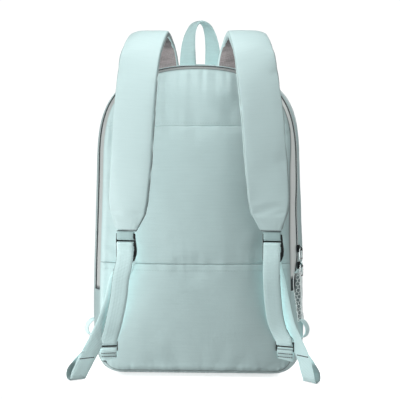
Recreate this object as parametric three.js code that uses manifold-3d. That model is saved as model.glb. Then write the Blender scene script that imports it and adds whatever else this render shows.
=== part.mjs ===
// Backpack standing on its base, sizes in mm. The harness side faces -Y, +X is on the right
// of the harness view, +Z is up and the floor is z = 0.
import * as THREE from 'three';
import { mergeVertices } from 'three/addons/utils/BufferGeometryUtils.js';
import Module from 'manifold-3d';

const wasm = await Module();
wasm.setup();

// Cloth and clearances
const gap = 0.35;
const wall = 2.4;
const pocketWall = 1.4;
const liningThickness = 1.2;
const tapeThickness = 1.6;
const webbingWidth = 25;
const webbingThickness = 1.6;
const loopTapeWidth = 10;

// Panels: seam heights, how far each swells out of its rim, how full the swell is towards the rim,
// and the rings they are lofted through
const panelMiddle = 230;
const upperSeam = 373;
const lowerSeam = 170.5;
const backSwell = 18;
const frontSwell = 14;
const panelFullness = 2.4;
const panelRings = [0.24, 0.46, 0.66, 0.84, 1];
const panelInnerRings = [1, 0.66, 0.24];

// Half outline of the fullest section, right side, from the middle of the base to the top
const flat = (x, z) => new THREE.Vector2(x, z);
const halfOutline = [
  { steps: 4, curve: new THREE.LineCurve(flat(0, 0), flat(112, 0)) },
  { steps: 6, curve: new THREE.CubicBezierCurve(flat(112, 0), flat(142, 0), flat(156, 18), flat(158, 50)) },
  { steps: 7, curve: new THREE.CubicBezierCurve(flat(158, 50), flat(161, 118), flat(153.5, 240), flat(152, 325)) },
  { steps: 9, curve: new THREE.CubicBezierCurve(flat(152, 325), flat(150.5, 402), flat(130, 440), flat(62, 459)) },
  { steps: 5, curve: new THREE.CubicBezierCurve(flat(62, 459), flat(42, 465), flat(20, 467), flat(0, 467)) },
];

// Depth sections from the harness side to the far side: how much the outline draws in
const sections = [
  { y: -74, side: 13, top: 9, base: 7 },
  { y: -61, side: 4, top: 3, base: 1.5 },
  { y: -50, side: 1, top: 1, base: 0 },
  { y: -20, side: 0, top: 0, base: 0 },
  { y: 20, side: 0, top: 0, base: 0 },
  { y: 45, side: 3, top: 4, base: 0 },
  { y: 62, side: 9, top: 10, base: 2 },
  { y: 72, side: 18, top: 20, base: 8 },
];
const backRim = sections[0].y;
const frontRim = sections[sections.length - 1].y;

// Zip: its lane runs between the first two sections, down to the zip foot on both sides
const zipFoot = 128;
const zipLane = { back: backRim, front: sections[1].y };
const coil = { back: -65.6, front: -63.1, proud: 1 };
const slider = { width: 8, length: 11, height: 2.2, bailWidth: 2, bailLength: 7, bailHeight: 3.7 };
const puller = { width: 7.6, length: 16.8, bar: 1.5, thickness: 1.4 };
const sliderHeights = { upper: 191, lower: 166 };

// Harness: both straps hang a little to the right, and the adjusters face a little to the left
const strapSway = 4.5;
const strapFoot = 222.2;
const buckleTurn = THREE.MathUtils.degToRad(-10);
const buckle = { out: 107, y: -111.5, thickness: 4 };
const buckleProfile = [flat(9, 173.2), flat(13.6, 178), flat(16.6, 186), flat(17.2, 194), flat(15.6, 204), flat(14.4, 217)];
const buckleSlots = [
  { low: 202.9, high: 209.7 },
  { low: 190.5, high: 198.5 },
];
const slotWidth = 25.8;
const ring = { out: 131.5, y: -87, low: 38.5, high: 53, bar: 3, width: 32 };

// Shoulder strap, from its root on the top of the gusset to the adjuster
const strapRows = [
  { out: 55.5, y: -44, z: 446, width: 57, thick: 9, sway: 0 },
  { out: 57, y: -45, z: 462, width: 57, thick: 10, sway: 0 },
  { out: 63, y: -51, z: 488, width: 57, thick: 11, sway: 0.2 },
  { out: 71, y: -76, z: 507, width: 57, thick: 11, sway: 0.4 },
  { out: 80.5, y: -102, z: 486, width: 59, thick: 11, sway: 0.5 },
  { out: 86.5, y: -111, z: 446, width: 61, thick: 12, sway: 0.6 },
  { out: 92, y: -116, z: 396, width: 63, thick: 12, sway: 0.8 },
  { out: 97.2, y: -120, z: 322, width: 63, thick: 12, sway: 1 },
  { out: 101.8, y: -119.5, z: 267, width: 58.5, thick: 12, sway: 1 },
  { out: 103.8, y: -116, z: 241, width: 45, thick: 11, sway: 1 },
  { out: 106.6, y: -112.3, z: 219, width: 30, thick: 9, sway: 1 },
];

// Webbing from the sewn fold on the ring's upper bar up to the adjuster
const loadRows = [
  { out: 129.5, y: -90, z: 68 },
  { out: 131, y: -87.4, z: 61 },
  { out: 131.5, y: -84, z: 54 },
  { out: 131.5, y: -84, z: 50.6 },
  { out: 131.5, y: -85, z: 48.2 },
  { out: 131.5, y: -87, z: 47.7 },
  { out: 131.5, y: -89, z: 48.2 },
  { out: 131.5, y: -90, z: 50.6 },
  { out: 131.3, y: -90.2, z: 54 },
  { out: 130.3, y: -90.8, z: 61 },
  { out: 128, y: -92.4, z: 68 },
  { out: 121.5, y: -98.5, z: 88 },
  { out: 113.5, y: -107, z: 122 },
];

// Webbing round the adjuster's middle bar: distance in front of the bar and height
const threadRows = [
  { front: 5.6, z: 168 },
  { front: 4.2, z: 187 },
  { front: 3.5, z: 196.7 },
  { front: 3.5, z: 202.5 },
  { front: 2.6, z: 204.3 },
  { front: 0, z: 204.8 },
  { front: -2.6, z: 204.3 },
  { front: -3.5, z: 202.5 },
  { front: -3.5, z: 196.7 },
  { front: -4.2, z: 187 },
  { front: -6.6, z: 172 },
];

// Free tail behind the adjuster, its fold on the floor and the ply that comes back up to the stitch.
// The turn is how far, in degrees, the band faces in towards the bag's middle; the sway is to the right.
const tailRows = [
  { out: 118.6, y: -100, z: 150, turn: 4, sway: -1.2 },
  { out: 128, y: -93.5, z: 116, turn: 10, sway: -1.2 },
  { out: 137, y: -90, z: 82, turn: 18, sway: -1.8 },
  { out: 147, y: -97, z: 56, turn: 28, sway: -2.5 },
  { out: 156, y: -107.5, z: 37, turn: 36, sway: -3.3 },
  { out: 165, y: -118, z: 18, turn: 40, sway: -4 },
  { out: 168.5, y: -122, z: 7, turn: 40, sway: -4 },
  { out: 169.8, y: -120.8, z: 2.6, turn: 40, sway: -4 },
  { out: 172.5, y: -117.2, z: 1.7, turn: 40, sway: -4 },
  { out: 175.6, y: -113.4, z: 4, turn: 40, sway: -4 },
  { out: 175.8, y: -112, z: 12, turn: 40, sway: -4 },
  { out: 168.4, y: -108.6, z: 24, turn: 38, sway: -3.8 },
  { out: 158.4, y: -105.2, z: 36, turn: 36, sway: -3.4 },
];

// Anchor tab: under the ring's lower bar and back onto the low corner of the panel
const tabRows = [
  { out: 129, y: -80, z: 25, width: 20 },
  { out: 130, y: -81.4, z: 30, width: 23 },
  { out: 131.2, y: -83.4, z: 36, width: 25 },
  { out: 131.5, y: -84, z: 40.6, width: 25 },
  { out: 131.5, y: -85, z: 43.3, width: 25 },
  { out: 131.5, y: -87, z: 43.8, width: 25 },
  { out: 131.5, y: -89, z: 43.3, width: 25 },
  { out: 131.5, y: -90, z: 40.6, width: 25 },
  { out: 131.2, y: -88.4, z: 35.5, width: 25 },
  { out: 130, y: -83.8, z: 29, width: 23 },
  { out: 129, y: -82.4, z: 25, width: 20 },
];

// Webbing loop sewn into the strap end, round the adjuster's top bar
const endLoopRows = [
  { front: 3, z: 221.7 },
  { front: 3.5, z: 216.7 },
  { front: 3.5, z: 211.3 },
  { front: 2.8, z: 208.5 },
  { front: 0, z: 207.9 },
  { front: -2.8, z: 208.5 },
  { front: -3.5, z: 211.3 },
  { front: -3.5, z: 216.7 },
  { front: -3, z: 221.7 },
];

// Grab handle: the legs are sewn flat to the top and the band turns across it at the crown.
// The aim is the plan angle of the band's width.
const handleRows = [
  { x: -15, y: -46, z: 452, aim: 172 },
  { x: -15, y: -46, z: 472, aim: 161 },
  { x: -14.2, y: -45.5, z: 492, aim: 146 },
  { x: -10.5, y: -44, z: 511, aim: 128 },
  { x: 0.5, y: -40, z: 526, aim: 102 },
  { x: 15, y: -36, z: 511, aim: 132 },
  { x: 20, y: -34.5, z: 492, aim: 148 },
  { x: 21.5, y: -34, z: 472, aim: 161 },
  { x: 21.5, y: -34, z: 452, aim: 172 },
];

// Side loops: reach out of the side and height
const sideLoopRows = [
  { reach: -14, z: 82 },
  { reach: 2, z: 81 },
  { reach: 9, z: 76 },
  { reach: 13, z: 68 },
  { reach: 10.5, z: 60 },
  { reach: 3, z: 56 },
  { reach: -14, z: 55 },
];
const sideLoop = { x: 155, y: -54, shareLeft: 1, shareRight: 0.72 };

// Net pocket on the right side: its span in depth, height and how far it stands off
const pocket = { back: -58, front: 46, foot: 84, lip: 153.5, hemTop: 161, swell: 1.8 };
const pocketHemWall = 2.6;

// Colours
const colours = {
  cloth: { color: '#bdd7d7', roughness: 0.75, metalness: 0 },
  webbing: { color: '#c6dfdf', roughness: 0.8, metalness: 0 },
  lining: { color: '#a49d9c', roughness: 0.9, metalness: 0 },
  zipTape: { color: '#b2b1ae', roughness: 0.85, metalness: 0 },
  zipCoil: { color: '#5b6667', roughness: 0.5, metalness: 0 },
  net: { color: '#a3b8b6', roughness: 0.85, metalness: 0 },
  plastic: { color: '#141c1d', roughness: 0.4, metalness: 0 },
  darkMetal: { color: '#23282a', roughness: 0.35, metalness: 0.8 },
  paleMetal: { color: '#d3d8d8', roughness: 0.3, metalness: 0.9 },
};

const at = (x, y, z) => new THREE.Vector3(x, y, z);
const between = (a, b, share) => a + (b - a) * share;

// Closed solid from points and triangles, turned outside out by its signed volume.
function solidFrom(points, triangles) {
  const cross = at(0, 0, 0);
  let volume = 0;
  for (const [a, b, c] of triangles) volume += points[a].dot(cross.crossVectors(points[b], points[c]));
  const corners = volume < 0 ? triangles.map(([a, b, c]) => [a, c, b]) : triangles;
  const geometry = new THREE.BufferGeometry().setFromPoints(points);
  geometry.setIndex(corners.flat());
  return geometry;
}

// Skin through rings of equal even point count. An open loft is closed by a strip across each end ring.
function loft(rings, closed = false) {
  const count = rings[0].length;
  const triangles = [];
  const spans = closed ? rings.length : rings.length - 1;
  for (let i = 0; i < spans; i++) {
    const here = i * count;
    const next = ((i + 1) % rings.length) * count;
    for (let j = 0; j < count; j++) {
      const k = (j + 1) % count;
      triangles.push([here + j, here + k, next + k], [here + j, next + k, next + j]);
    }
  }
  if (!closed) {
    const last = (rings.length - 1) * count;
    for (let j = 0; j < count / 2 - 1; j++) {
      const far = count - 1 - j;
      triangles.push([j + 1, j, far], [j + 1, far, far - 1]);
      triangles.push([last + j, last + j + 1, last + far], [last + j + 1, last + far - 1, last + far]);
    }
  }
  return solidFrom(rings.flat(), triangles);
}

function manifoldOf(geometry) {
  const bare = geometry.clone();
  bare.deleteAttribute('normal');
  bare.deleteAttribute('uv');
  const merged = mergeVertices(bare, 1e-4);
  return new wasm.Manifold(new wasm.Mesh({
    numProp: 3,
    vertProperties: new Float32Array(merged.attributes.position.array),
    triVerts: new Uint32Array(merged.index.array),
  }));
}

function geometryOf(solid) {
  const mesh = solid.getMesh();
  const geometry = new THREE.BufferGeometry();
  geometry.setAttribute('position', new THREE.BufferAttribute(new Float32Array(mesh.vertProperties), 3));
  geometry.setIndex(new THREE.BufferAttribute(new Uint32Array(mesh.triVerts), 1));
  return geometry;
}

const cut = (from, tool) => geometryOf(manifoldOf(from).subtract(manifoldOf(tool)));
const keep = (from, tool) => geometryOf(manifoldOf(from).intersect(manifoldOf(tool)));
const join = (one, two) => geometryOf(manifoldOf(one).add(manifoldOf(two)));

// Block that spans the whole width and depth between two heights.
function slice(low, high) {
  return new THREE.BoxGeometry(600, 600, high - low).translate(0, 0, (low + high) / 2);
}

// Whole outline with its outward directions, anticlockwise from the middle of the base.
function wholeOutline() {
  const right = halfOutline.flatMap(({ steps, curve }) => curve.getPoints(steps).slice(0, -1));
  const left = right.slice(1).reverse().map((p) => flat(-p.x, p.y));
  const points = [...right, flat(0, halfOutline[halfOutline.length - 1].curve.v3.y), ...left];
  return points.map((point, i) => {
    const before = points[(i + points.length - 1) % points.length];
    const after = points[(i + 1) % points.length];
    const along = after.clone().sub(before).normalize();
    return { point, out: flat(along.y, -along.x) };
  });
}
const outline = wholeOutline();

// Ring of the outer skin at a depth, grown outwards by a few tenths or drawn in by the wall.
function skin(y, grow = 0) {
  let i = 0;
  while (i < sections.length - 2 && y > sections[i + 1].y) i++;
  const [a, b] = [sections[i], sections[i + 1]];
  const share = (y - a.y) / (b.y - a.y);
  const draw = (column) => between(a[column], b[column], share);
  return outline.map(({ point, out }) => {
    const inset = draw('side') * out.x ** 2 + draw(out.y > 0 ? 'top' : 'base') * out.y ** 2 - grow;
    return at(point.x - out.x * inset, y, point.y - out.y * inset);
  });
}

// Where the right side of the skin lies at a depth and height.
function sideAt(y, z, grow = 0) {
  const right = skin(y, grow).slice(0, outline.length / 2 + 1);
  const i = right.findIndex((p, k) => k > 0 && p.z >= z && right[k - 1].z < z && p.x > 100);
  const [a, b] = [right[i - 1], right[i]];
  return between(a.x, b.x, (z - a.z) / (b.z - a.z));
}

// Ring of a panel: the rim drawn towards the panel's middle, swollen out of the rim plane.
function panelRing(rim, share, swell, lift, grow = 0) {
  const depth = swell * (1 - share ** panelFullness) + Math.sign(swell) * lift;
  return skin(rim, grow).map((p) => at(p.x * share, rim + depth, between(panelMiddle, p.z, share)));
}

// Padded panel closed on its rim: outer skin out to the rim and inner skin back.
function panel(rim, swell) {
  const outer = panelRings.map((share) => panelRing(rim, share, swell, gap + wall));
  const inner = panelInnerRings.map((share) => panelRing(rim, share, swell, gap));
  return loft([...outer, ...inner]);
}

// Solid of the whole bag, grown by the gap: trims what is sewn onto it.
function bodyBlock(grow) {
  const back = panelRings.map((share) => panelRing(backRim, share, -backSwell, gap + wall + grow, grow));
  const front = [...panelRings].reverse().map((share) => panelRing(frontRim, share, frontSwell, gap + wall + grow, grow));
  return loft([...back, ...sections.map(({ y }) => skin(y, grow)), ...front]);
}

// Band round the outline between two depths, as a closed ring.
function ringBand(back, front, outer, inner) {
  const rows = [skin(back, outer), skin(front, outer), skin(front, inner), skin(back, inner)];
  return loft(outline.map((_, j) => rows.map((row) => row[j])), true);
}

// Stations along a route: point, width direction, face direction and the row's other columns.
function stations(rows, perSpan) {
  const steps = perSpan * (rows.length - 1);
  const curve = new THREE.CatmullRomCurve3(rows.map(({ x, y, z }) => at(x, y, z)));
  return Array.from({ length: steps + 1 }, (_, k) => {
    const t = k / steps;
    const i = Math.min(Math.floor(t * (rows.length - 1)), rows.length - 2);
    const share = t * (rows.length - 1) - i;
    const blend = (column) => between(rows[i][column], rows[i + 1][column], share);
    const along = curve.getTangent(t);
    const aim = THREE.MathUtils.degToRad(blend('aim'));
    const across = at(Math.cos(aim), Math.sin(aim), 0);
    across.addScaledVector(along, -across.dot(along)).normalize();
    const face = across.clone().cross(along);
    return { point: curve.getPoint(t), across, face, width: blend('width'), thick: blend('thick') };
  });
}

// Section of a station from shares of its half width and half thickness.
function sectionOf({ point, across, face, width, thick }, shape, lift = 0) {
  return shape.map(([w, h]) => point.clone()
    .addScaledVector(across, (w * width) / 2)
    .addScaledVector(face, (h * thick) / 2 + lift));
}
const flatSection = [[-1, -1], [1, -1], [1, 1], [-1, 1]];
const liningSection = [[1, -1], [0, -1], [-1, -1], [-1, 1], [0, 1], [1, 1]];
const paddedSection = [
  [-1, -0.15], [-0.95, -0.7], [-0.78, -1], [0, -1], [0.78, -1], [0.95, -0.7],
  [1, 0.15], [0.95, 0.7], [0.78, 1], [0, 1], [-0.78, 1], [-0.95, 0.7],
];

function ribbon(rows, perSpan, thick = webbingThickness, width = webbingWidth) {
  const full = rows.map((row) => ({ aim: 0, width, thick, ...row }));
  return loft(stations(full, perSpan).map((station) => sectionOf(station, flatSection)));
}

// Rounded rectangle between two corners.
function roundedRect(Path, x0, z0, x1, z1, r) {
  const path = new Path();
  path.moveTo(x0 + r, z0);
  path.lineTo(x1 - r, z0);
  path.absarc(x1 - r, z0 + r, r, -Math.PI / 2, 0);
  path.lineTo(x1, z1 - r);
  path.absarc(x1 - r, z1 - r, r, 0, Math.PI / 2);
  path.lineTo(x0 + r, z1);
  path.absarc(x0 + r, z1 - r, r, Math.PI / 2, Math.PI);
  path.lineTo(x0, z0 + r);
  path.absarc(x0 + r, z0 + r, r, Math.PI, Math.PI * 1.5);
  return path;
}

// Plate with windows, drawn upright in x and z and centred on y = 0.
function plate(shape, thickness, curveSegments = 2) {
  return new THREE.ExtrudeGeometry(shape, { depth: thickness, bevelEnabled: false, curveSegments })
    .rotateX(Math.PI / 2).translate(0, thickness / 2, 0);
}

// Middle of an adjuster in plan, and a point in front of it.
const buckleX = (hand) => hand * buckle.out + strapSway;
function atBuckle(hand, { front, z }) {
  return {
    x: buckleX(hand) + Math.sin(buckleTurn) * front,
    y: buckle.y - Math.cos(buckleTurn) * front,
    z,
    aim: THREE.MathUtils.radToDeg(buckleTurn),
  };
}

function ladderLock(hand) {
  const mirrored = [...buckleProfile].reverse().map(({ x, y }) => flat(-x, y));
  const shape = new THREE.Shape([...buckleProfile, ...mirrored]);
  for (const { low, high } of buckleSlots) {
    shape.holes.push(roundedRect(THREE.Path, -slotWidth / 2, low, slotWidth / 2, high, 1));
  }
  return plate(shape, buckle.thickness).rotateZ(buckleTurn).translate(buckleX(hand), buckle.y, 0);
}

function anchorRing(hand) {
  const half = ring.width / 2;
  const shape = roundedRect(THREE.Shape, -half, ring.low, half, ring.high, 3);
  const inner = roundedRect(THREE.Path, -half + ring.bar, ring.low + ring.bar, half - ring.bar, ring.high - ring.bar, 1);
  shape.holes.push(inner);
  return plate(shape, ring.bar).translate(hand * ring.out, ring.y, 0);
}

const routeX = (hand, row) => ({ ...row, x: hand * row.out + (row.sway ?? 0), aim: -hand * (row.turn ?? 0) });

function strapStations(hand) {
  const turn = THREE.MathUtils.radToDeg(buckleTurn);
  const rows = strapRows.map((row) => ({
    ...row,
    x: hand * row.out + strapSway * row.sway,
    aim: row.z < 300 ? turn : row.z < 350 ? turn / 2 : 0,
  }));
  return stations(rows, 3);
}

function shoulderStrap(hand, block) {
  const rings = strapStations(hand).map((station) => sectionOf(station, paddedSection));
  return keep(cut(loft(rings), block), slice(strapFoot, 600));
}

// Thin cloth on the wearer's side of a strap, a little narrower than the strap.
function strapLining(hand, block) {
  const rings = strapStations(hand).slice(0, -1).map((station) => {
    const lift = station.thick / 2 + gap * 1.3 + liningThickness / 2;
    return sectionOf({ ...station, width: station.width * 0.78, thick: liningThickness }, liningSection, lift);
  });
  return keep(cut(loft(rings), block), slice(strapFoot, 600));
}

function adjusterWebbing(hand) {
  const rows = [
    ...loadRows.map((row) => routeX(hand, row)),
    ...threadRows.map((row) => atBuckle(hand, row)),
    ...tailRows.map((row) => routeX(hand, row)),
  ];
  return ribbon(rows, 3);
}

function anchorTab(hand, block) {
  return cut(ribbon(tabRows.map((row) => routeX(hand, row)), 3), block);
}

function strapEndLoop(hand) {
  return ribbon(endLoopRows.map((row) => atBuckle(hand, row)), 3);
}

function sideLoopTape(hand, share, block) {
  const rows = sideLoopRows.map(({ reach, z }) => ({
    x: hand * (sideLoop.x + (reach > 0 ? reach * share : reach)), y: sideLoop.y, z, aim: 90,
  }));
  return cut(ribbon(rows, 4, webbingThickness, loopTapeWidth), block);
}

// Net pocket wall between two heights; it stands off the side most at the middle of its lip.
function pocketBand(low, high, rowCount, thickness, inset) {
  const columns = 14;
  const standOff = (y, z) => {
    const across = Math.sin((Math.PI * (y - pocket.back)) / (pocket.front - pocket.back));
    return gap * 2 + pocket.swell * Math.sqrt(Math.max(across, 0)) * ((z - pocket.foot) / (pocket.hemTop - pocket.foot)) ** 0.4;
  };
  const rings = Array.from({ length: rowCount + 1 }, (_, i) => {
    const z = between(low, high, i / rowCount);
    const depths = Array.from({ length: columns }, (_, j) => between(pocket.back, pocket.front, j / (columns - 1)));
    const face = (y, lift) => at(sideAt(y, z) + standOff(y, z) + lift, y, z);
    return [
      ...depths.map((y) => face(y, thickness - inset)),
      ...depths.reverse().map((y) => face(y, -inset)),
    ];
  });
  return loft(rings);
}

// Slider and puller stand on the coil on the right; the local -y side turns to the lane's outward side.
const laneTurn = Math.atan2(sections[0].side - sections[1].side, zipLane.front - zipLane.back);
const pieceTurn = Math.PI / 2 - laneTurn;
const coilMiddle = (coil.back + coil.front) / 2;
function onCoil(geometry, z, lift) {
  const foot = at(sideAt(coilMiddle, z, coil.proud + gap), coilMiddle, z);
  foot.addScaledVector(at(Math.cos(laneTurn), -Math.sin(laneTurn), 0), lift);
  return geometry.rotateZ(pieceTurn).translate(foot.x, foot.y, foot.z);
}

function zipSlider(z) {
  const half = { w: slider.width / 2, l: slider.length / 2, bail: slider.bailLength / 2 };
  const body = plate(roundedRect(THREE.Shape, -half.w, -half.l, half.w, half.l, 2), slider.height)
    .translate(0, -slider.height / 2, 0);
  const arch = roundedRect(THREE.Shape, -half.bail, -0.4, half.bail, slider.bailHeight, 1);
  arch.holes.push(roundedRect(THREE.Path, -half.bail + 1.5, 0.2, half.bail - 1.5, slider.bailHeight - 1, 0.4));
  const upright = new THREE.Matrix4().makeBasis(at(0, 0, 1), at(0, -1, 0), at(1, 0, 0));
  const bail = new THREE.ExtrudeGeometry(arch, { depth: slider.bailWidth, bevelEnabled: false, curveSegments: 2 })
    .translate(0, 0, -slider.bailWidth / 2).applyMatrix4(upright).translate(0, -slider.height, 0);
  return onCoil(join(body, bail), z, 0);
}

function zipPuller(z) {
  const half = puller.width / 2;
  const foot = puller.bar / 2 - puller.length;
  const shape = roundedRect(THREE.Shape, -half, foot, half, puller.bar / 2, 1.4);
  shape.holes.push(roundedRect(THREE.Path, -half + puller.bar, foot + puller.bar, half - puller.bar, -puller.bar / 2, 0.8));
  return onCoil(plate(shape, puller.thickness), z, slider.height + (slider.bailHeight - 0.8) / 2);
}

// Assembly
const group = new THREE.Group();
group.name = 'backpack';
function add(name, geometry, finish) {
  const mesh = new THREE.Mesh(geometry, new THREE.MeshStandardMaterial({ name: finish, ...colours[finish] }));
  mesh.name = name;
  group.add(mesh);
}

const block = bodyBlock(gap);
const backPanel = panel(backRim, -backSwell);
add('back_panel_upper', keep(backPanel, slice(upperSeam + gap / 2, 600)), 'cloth');
add('back_panel_middle', keep(backPanel, slice(lowerSeam + gap / 2, upperSeam - gap / 2)), 'cloth');
add('back_panel_lower', keep(backPanel, slice(-50, lowerSeam - gap / 2)), 'cloth');
add('front_panel', panel(frontRim, frontSwell), 'cloth');

const gussetRows = [...sections.map(({ y }) => skin(y)), ...[...sections].reverse().map(({ y }) => skin(y, -wall))];
const gussetRing = loft(outline.map((_, j) => gussetRows.map((row) => row[j])), true);
const zipNotch = keep(ringBand(zipLane.back - 4, zipLane.front, 2, -wall - 2), slice(zipFoot, 600));
add('gusset', cut(gussetRing, zipNotch), 'cloth');

const zipSpan = slice(zipFoot + gap, 600);
const tapeFloor = -0.3 - tapeThickness;
add('zip_tape_back', keep(ringBand(zipLane.back, coil.back - gap, -0.3, tapeFloor), zipSpan), 'zipTape');
add('zip_coil', keep(ringBand(coil.back, coil.front, coil.proud, -coil.proud), zipSpan), 'zipCoil');
add('zip_tape_front', keep(ringBand(coil.front + gap, zipLane.front - gap, -0.3, tapeFloor), zipSpan), 'zipTape');
for (const [place, z] of Object.entries(sliderHeights)) {
  add(`zip_slider_${place}`, zipSlider(z), 'darkMetal');
  add(`zip_puller_${place}`, zipPuller(z), 'paleMetal');
}

add('side_pocket', pocketBand(pocket.foot, pocket.lip, 7, pocketWall, 0), 'net');
add('side_pocket_hem', pocketBand(pocket.lip + gap, pocket.hemTop, 1, pocketHemWall, 0.5), 'cloth');
add('grab_handle', cut(ribbon(handleRows, 5), block), 'webbing');

for (const [name, hand, share] of [['left', -1, sideLoop.shareLeft], ['right', 1, sideLoop.shareRight]]) {
  add(`side_loop_${name}`, sideLoopTape(hand, share, block), 'webbing');
  add(`shoulder_strap_${name}`, shoulderStrap(hand, block), 'cloth');
  add(`strap_lining_${name}`, strapLining(hand, block), 'lining');
  add(`strap_end_loop_${name}`, strapEndLoop(hand), 'webbing');
  add(`ladder_lock_${name}`, ladderLock(hand), 'plastic');
  add(`adjuster_webbing_${name}`, adjusterWebbing(hand), 'webbing');
  add(`anchor_ring_${name}`, anchorRing(hand), 'plastic');
  add(`anchor_tab_${name}`, anchorTab(hand, block), 'webbing');
}

export default group;
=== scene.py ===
"""Backpack standing on its base: its cloth, harness and hardware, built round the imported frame.

Sizes in the classes are millimetres, and every mesh is made in metres. The harness side faces -Y,
+X is on the right of the harness view, +Z is up and the floor is z = 0. In the formulas for folds and
shade, plain numbers are heights, distances and fold sizes in mm, or shares.
"""
import bisect
import logging
import math
from collections.abc import Callable, Iterable, Sequence
from dataclasses import dataclass, field
from enum import Enum
from functools import lru_cache
from typing import NamedTuple

import bpy
from mathutils import Matrix, Vector, noise
from mathutils.bvhtree import BVHTree


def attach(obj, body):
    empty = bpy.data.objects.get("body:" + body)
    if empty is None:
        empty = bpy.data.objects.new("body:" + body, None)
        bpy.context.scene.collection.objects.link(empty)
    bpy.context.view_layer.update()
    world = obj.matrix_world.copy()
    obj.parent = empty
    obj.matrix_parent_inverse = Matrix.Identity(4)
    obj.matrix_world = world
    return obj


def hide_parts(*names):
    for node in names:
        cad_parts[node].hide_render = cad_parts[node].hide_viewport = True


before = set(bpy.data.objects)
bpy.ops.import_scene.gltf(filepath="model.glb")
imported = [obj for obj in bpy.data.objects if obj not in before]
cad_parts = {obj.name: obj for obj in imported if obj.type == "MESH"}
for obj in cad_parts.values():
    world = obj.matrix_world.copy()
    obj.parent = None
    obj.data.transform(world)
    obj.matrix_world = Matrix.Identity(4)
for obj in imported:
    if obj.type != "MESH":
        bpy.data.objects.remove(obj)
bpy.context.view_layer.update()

MM = 0.001
GAP = 0.35
WHITE = "#ffffff"
# Colour of the painted shade that the seam attribute lays on every finish, and its strength
PAINTED_SHADE_COLOUR = "#293537"
PAINTED_SHADE_WEIGHT = 0.85
# Share of painted shade that leaves nothing of a finish's own colour
ALL_DARK = 1.17
log = logging.getLogger("backpack")

Piece = bpy.types.Object
Material = bpy.types.Material
Tree = bpy.types.NodeTree
Socket = bpy.types.NodeSocket
Flat = tuple[float, float]
Moved = tuple[Vector, float]
Place = Callable[[float, float], Vector]
Chart = Callable[[float, float], Flat]
Move = Callable[[Vector, Vector], Moved]


class Body(Enum):
    """Bodies of the frame that pieces ride on."""

    PACK = "pack"
    PULLER_UPPER = "puller_upper"
    PULLER_LOWER = "puller_lower"


class Side(Enum):
    """Sides of the harness, as seen from the harness side."""

    LEFT = -1
    RIGHT = 1

    @property
    def word(self) -> str:
        """Word for the side in node and piece names."""
        return self.name.lower()


def mix(low: float, high: float, share: float) -> float:
    """Value that lies a share of the way from low to high."""
    return low + (high - low) * share


def smooth(low: float, high: float, value: float) -> float:
    """Soft step from 0 at low to 1 at high."""
    share = min(max((value - low) / (high - low), 0.0), 1.0)
    return share * share * (3.0 - 2.0 * share)


def crowd(share: float, amount: float) -> float:
    """Share with its steps crowded towards both ends by an amount from 0 to 1."""
    return share - amount * math.sin(2 * math.pi * share) / (2 * math.pi)


def wander(x: float, y: float, z: float, size: float) -> float:
    """Smooth noise from about -1 to 1 with features of the given size in mm."""
    return noise.noise(Vector((x, y, z)) / size)


# Finishes


def linear(code: str) -> tuple[float, float, float, float]:
    """Turns an sRGB hex colour into linear red, green, blue and alpha."""
    shares = [int(code[i:i + 2], 16) / 255 for i in (1, 3, 5)]
    return (*[s / 12.92 if s <= 0.04045 else ((s + 0.055) / 1.055) ** 2.4 for s in shares], 1.0)


def add_node(
    tree: Tree, kind: str, settings: dict | None = None, links: dict | None = None
) -> bpy.types.Node:
    """Adds a shader node with its settings and links.

    Args:
        tree: Node tree of the material or world.
        kind: Blender's name of the node, without its ShaderNode prefix.
        settings: Values by the name of an input or a property of the node.
        links: Output sockets by the name or number of the input that they feed.

    Returns:
        The new node.
    """
    node = tree.nodes.new("ShaderNode" + kind)
    for name, value in (settings or {}).items():
        if isinstance(name, int) or name in node.inputs:
            node.inputs[name].default_value = value
        else:
            setattr(node, name, value)
    for name, socket in (links or {}).items():
        tree.links.new(socket, node.inputs[name])
    return node


@dataclass(frozen=True)
class Finish:
    """A material by its real name, the record's slot that it belongs to, and its plain values."""

    name: str
    slot: str
    colour: str
    shade: str
    roughness: float
    sheen: float = 0.0
    metallic: float = 0.0
    relief_mm: float = 0.1

    def start(self) -> tuple[Material, Tree, bpy.types.Node]:
        """Makes the material with its shader and output.

        Returns:
            The material, its node tree and its shader node.
        """
        material = bpy.data.materials.new(self.name)
        material.use_nodes = True
        tree = material.node_tree
        tree.nodes.clear()
        values = {"Base Color": linear(self.colour), "Roughness": self.roughness,
                  "Metallic": self.metallic, "Sheen Weight": self.sheen, "Sheen Roughness": 0.4}
        shader = add_node(tree, "BsdfPrincipled", values)
        add_node(tree, "OutputMaterial", links={"Surface": shader.outputs["BSDF"]})
        return material, tree, shader

    def tint(self, tree: Tree, shader: bpy.types.Node, share: Socket) -> None:
        """Lets a pattern turn the colour towards its shade, and lays painted shade by the seam attribute.

        Args:
            tree: Node tree.
            shader: Its shader.
            share: Pattern from 0 to 1.
        """
        ends = {"data_type": "RGBA", 6: linear(self.colour), 7: linear(self.shade)}
        colour = add_node(tree, "Mix", ends, {0: share})
        # Painted shade: the seam attribute darkens grooves, folds and dim stretches towards the shade colour
        seam = add_node(tree, "Attribute", {"attribute_name": "seam"})
        depth = add_node(tree, "Math", {"operation": "MULTIPLY", 1: PAINTED_SHADE_WEIGHT}, {0: seam.outputs["Fac"]})
        ends = {"data_type": "RGBA", 7: linear(PAINTED_SHADE_COLOUR)}
        painted_shade_mix = add_node(tree, "Mix", ends, {0: depth.outputs[0], 6: colour.outputs[2]})
        tree.links.new(painted_shade_mix.outputs[2], shader.inputs["Base Color"])

    def emboss(self, tree: Tree, shader: bpy.types.Node, height: Socket) -> None:
        """Raises a pattern by the finish's relief."""
        bump = add_node(tree, "Bump", {"Distance": self.relief_mm * MM, "Strength": 1.0}, {"Height": height})
        tree.links.new(bump.outputs["Normal"], shader.inputs["Normal"])


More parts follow.
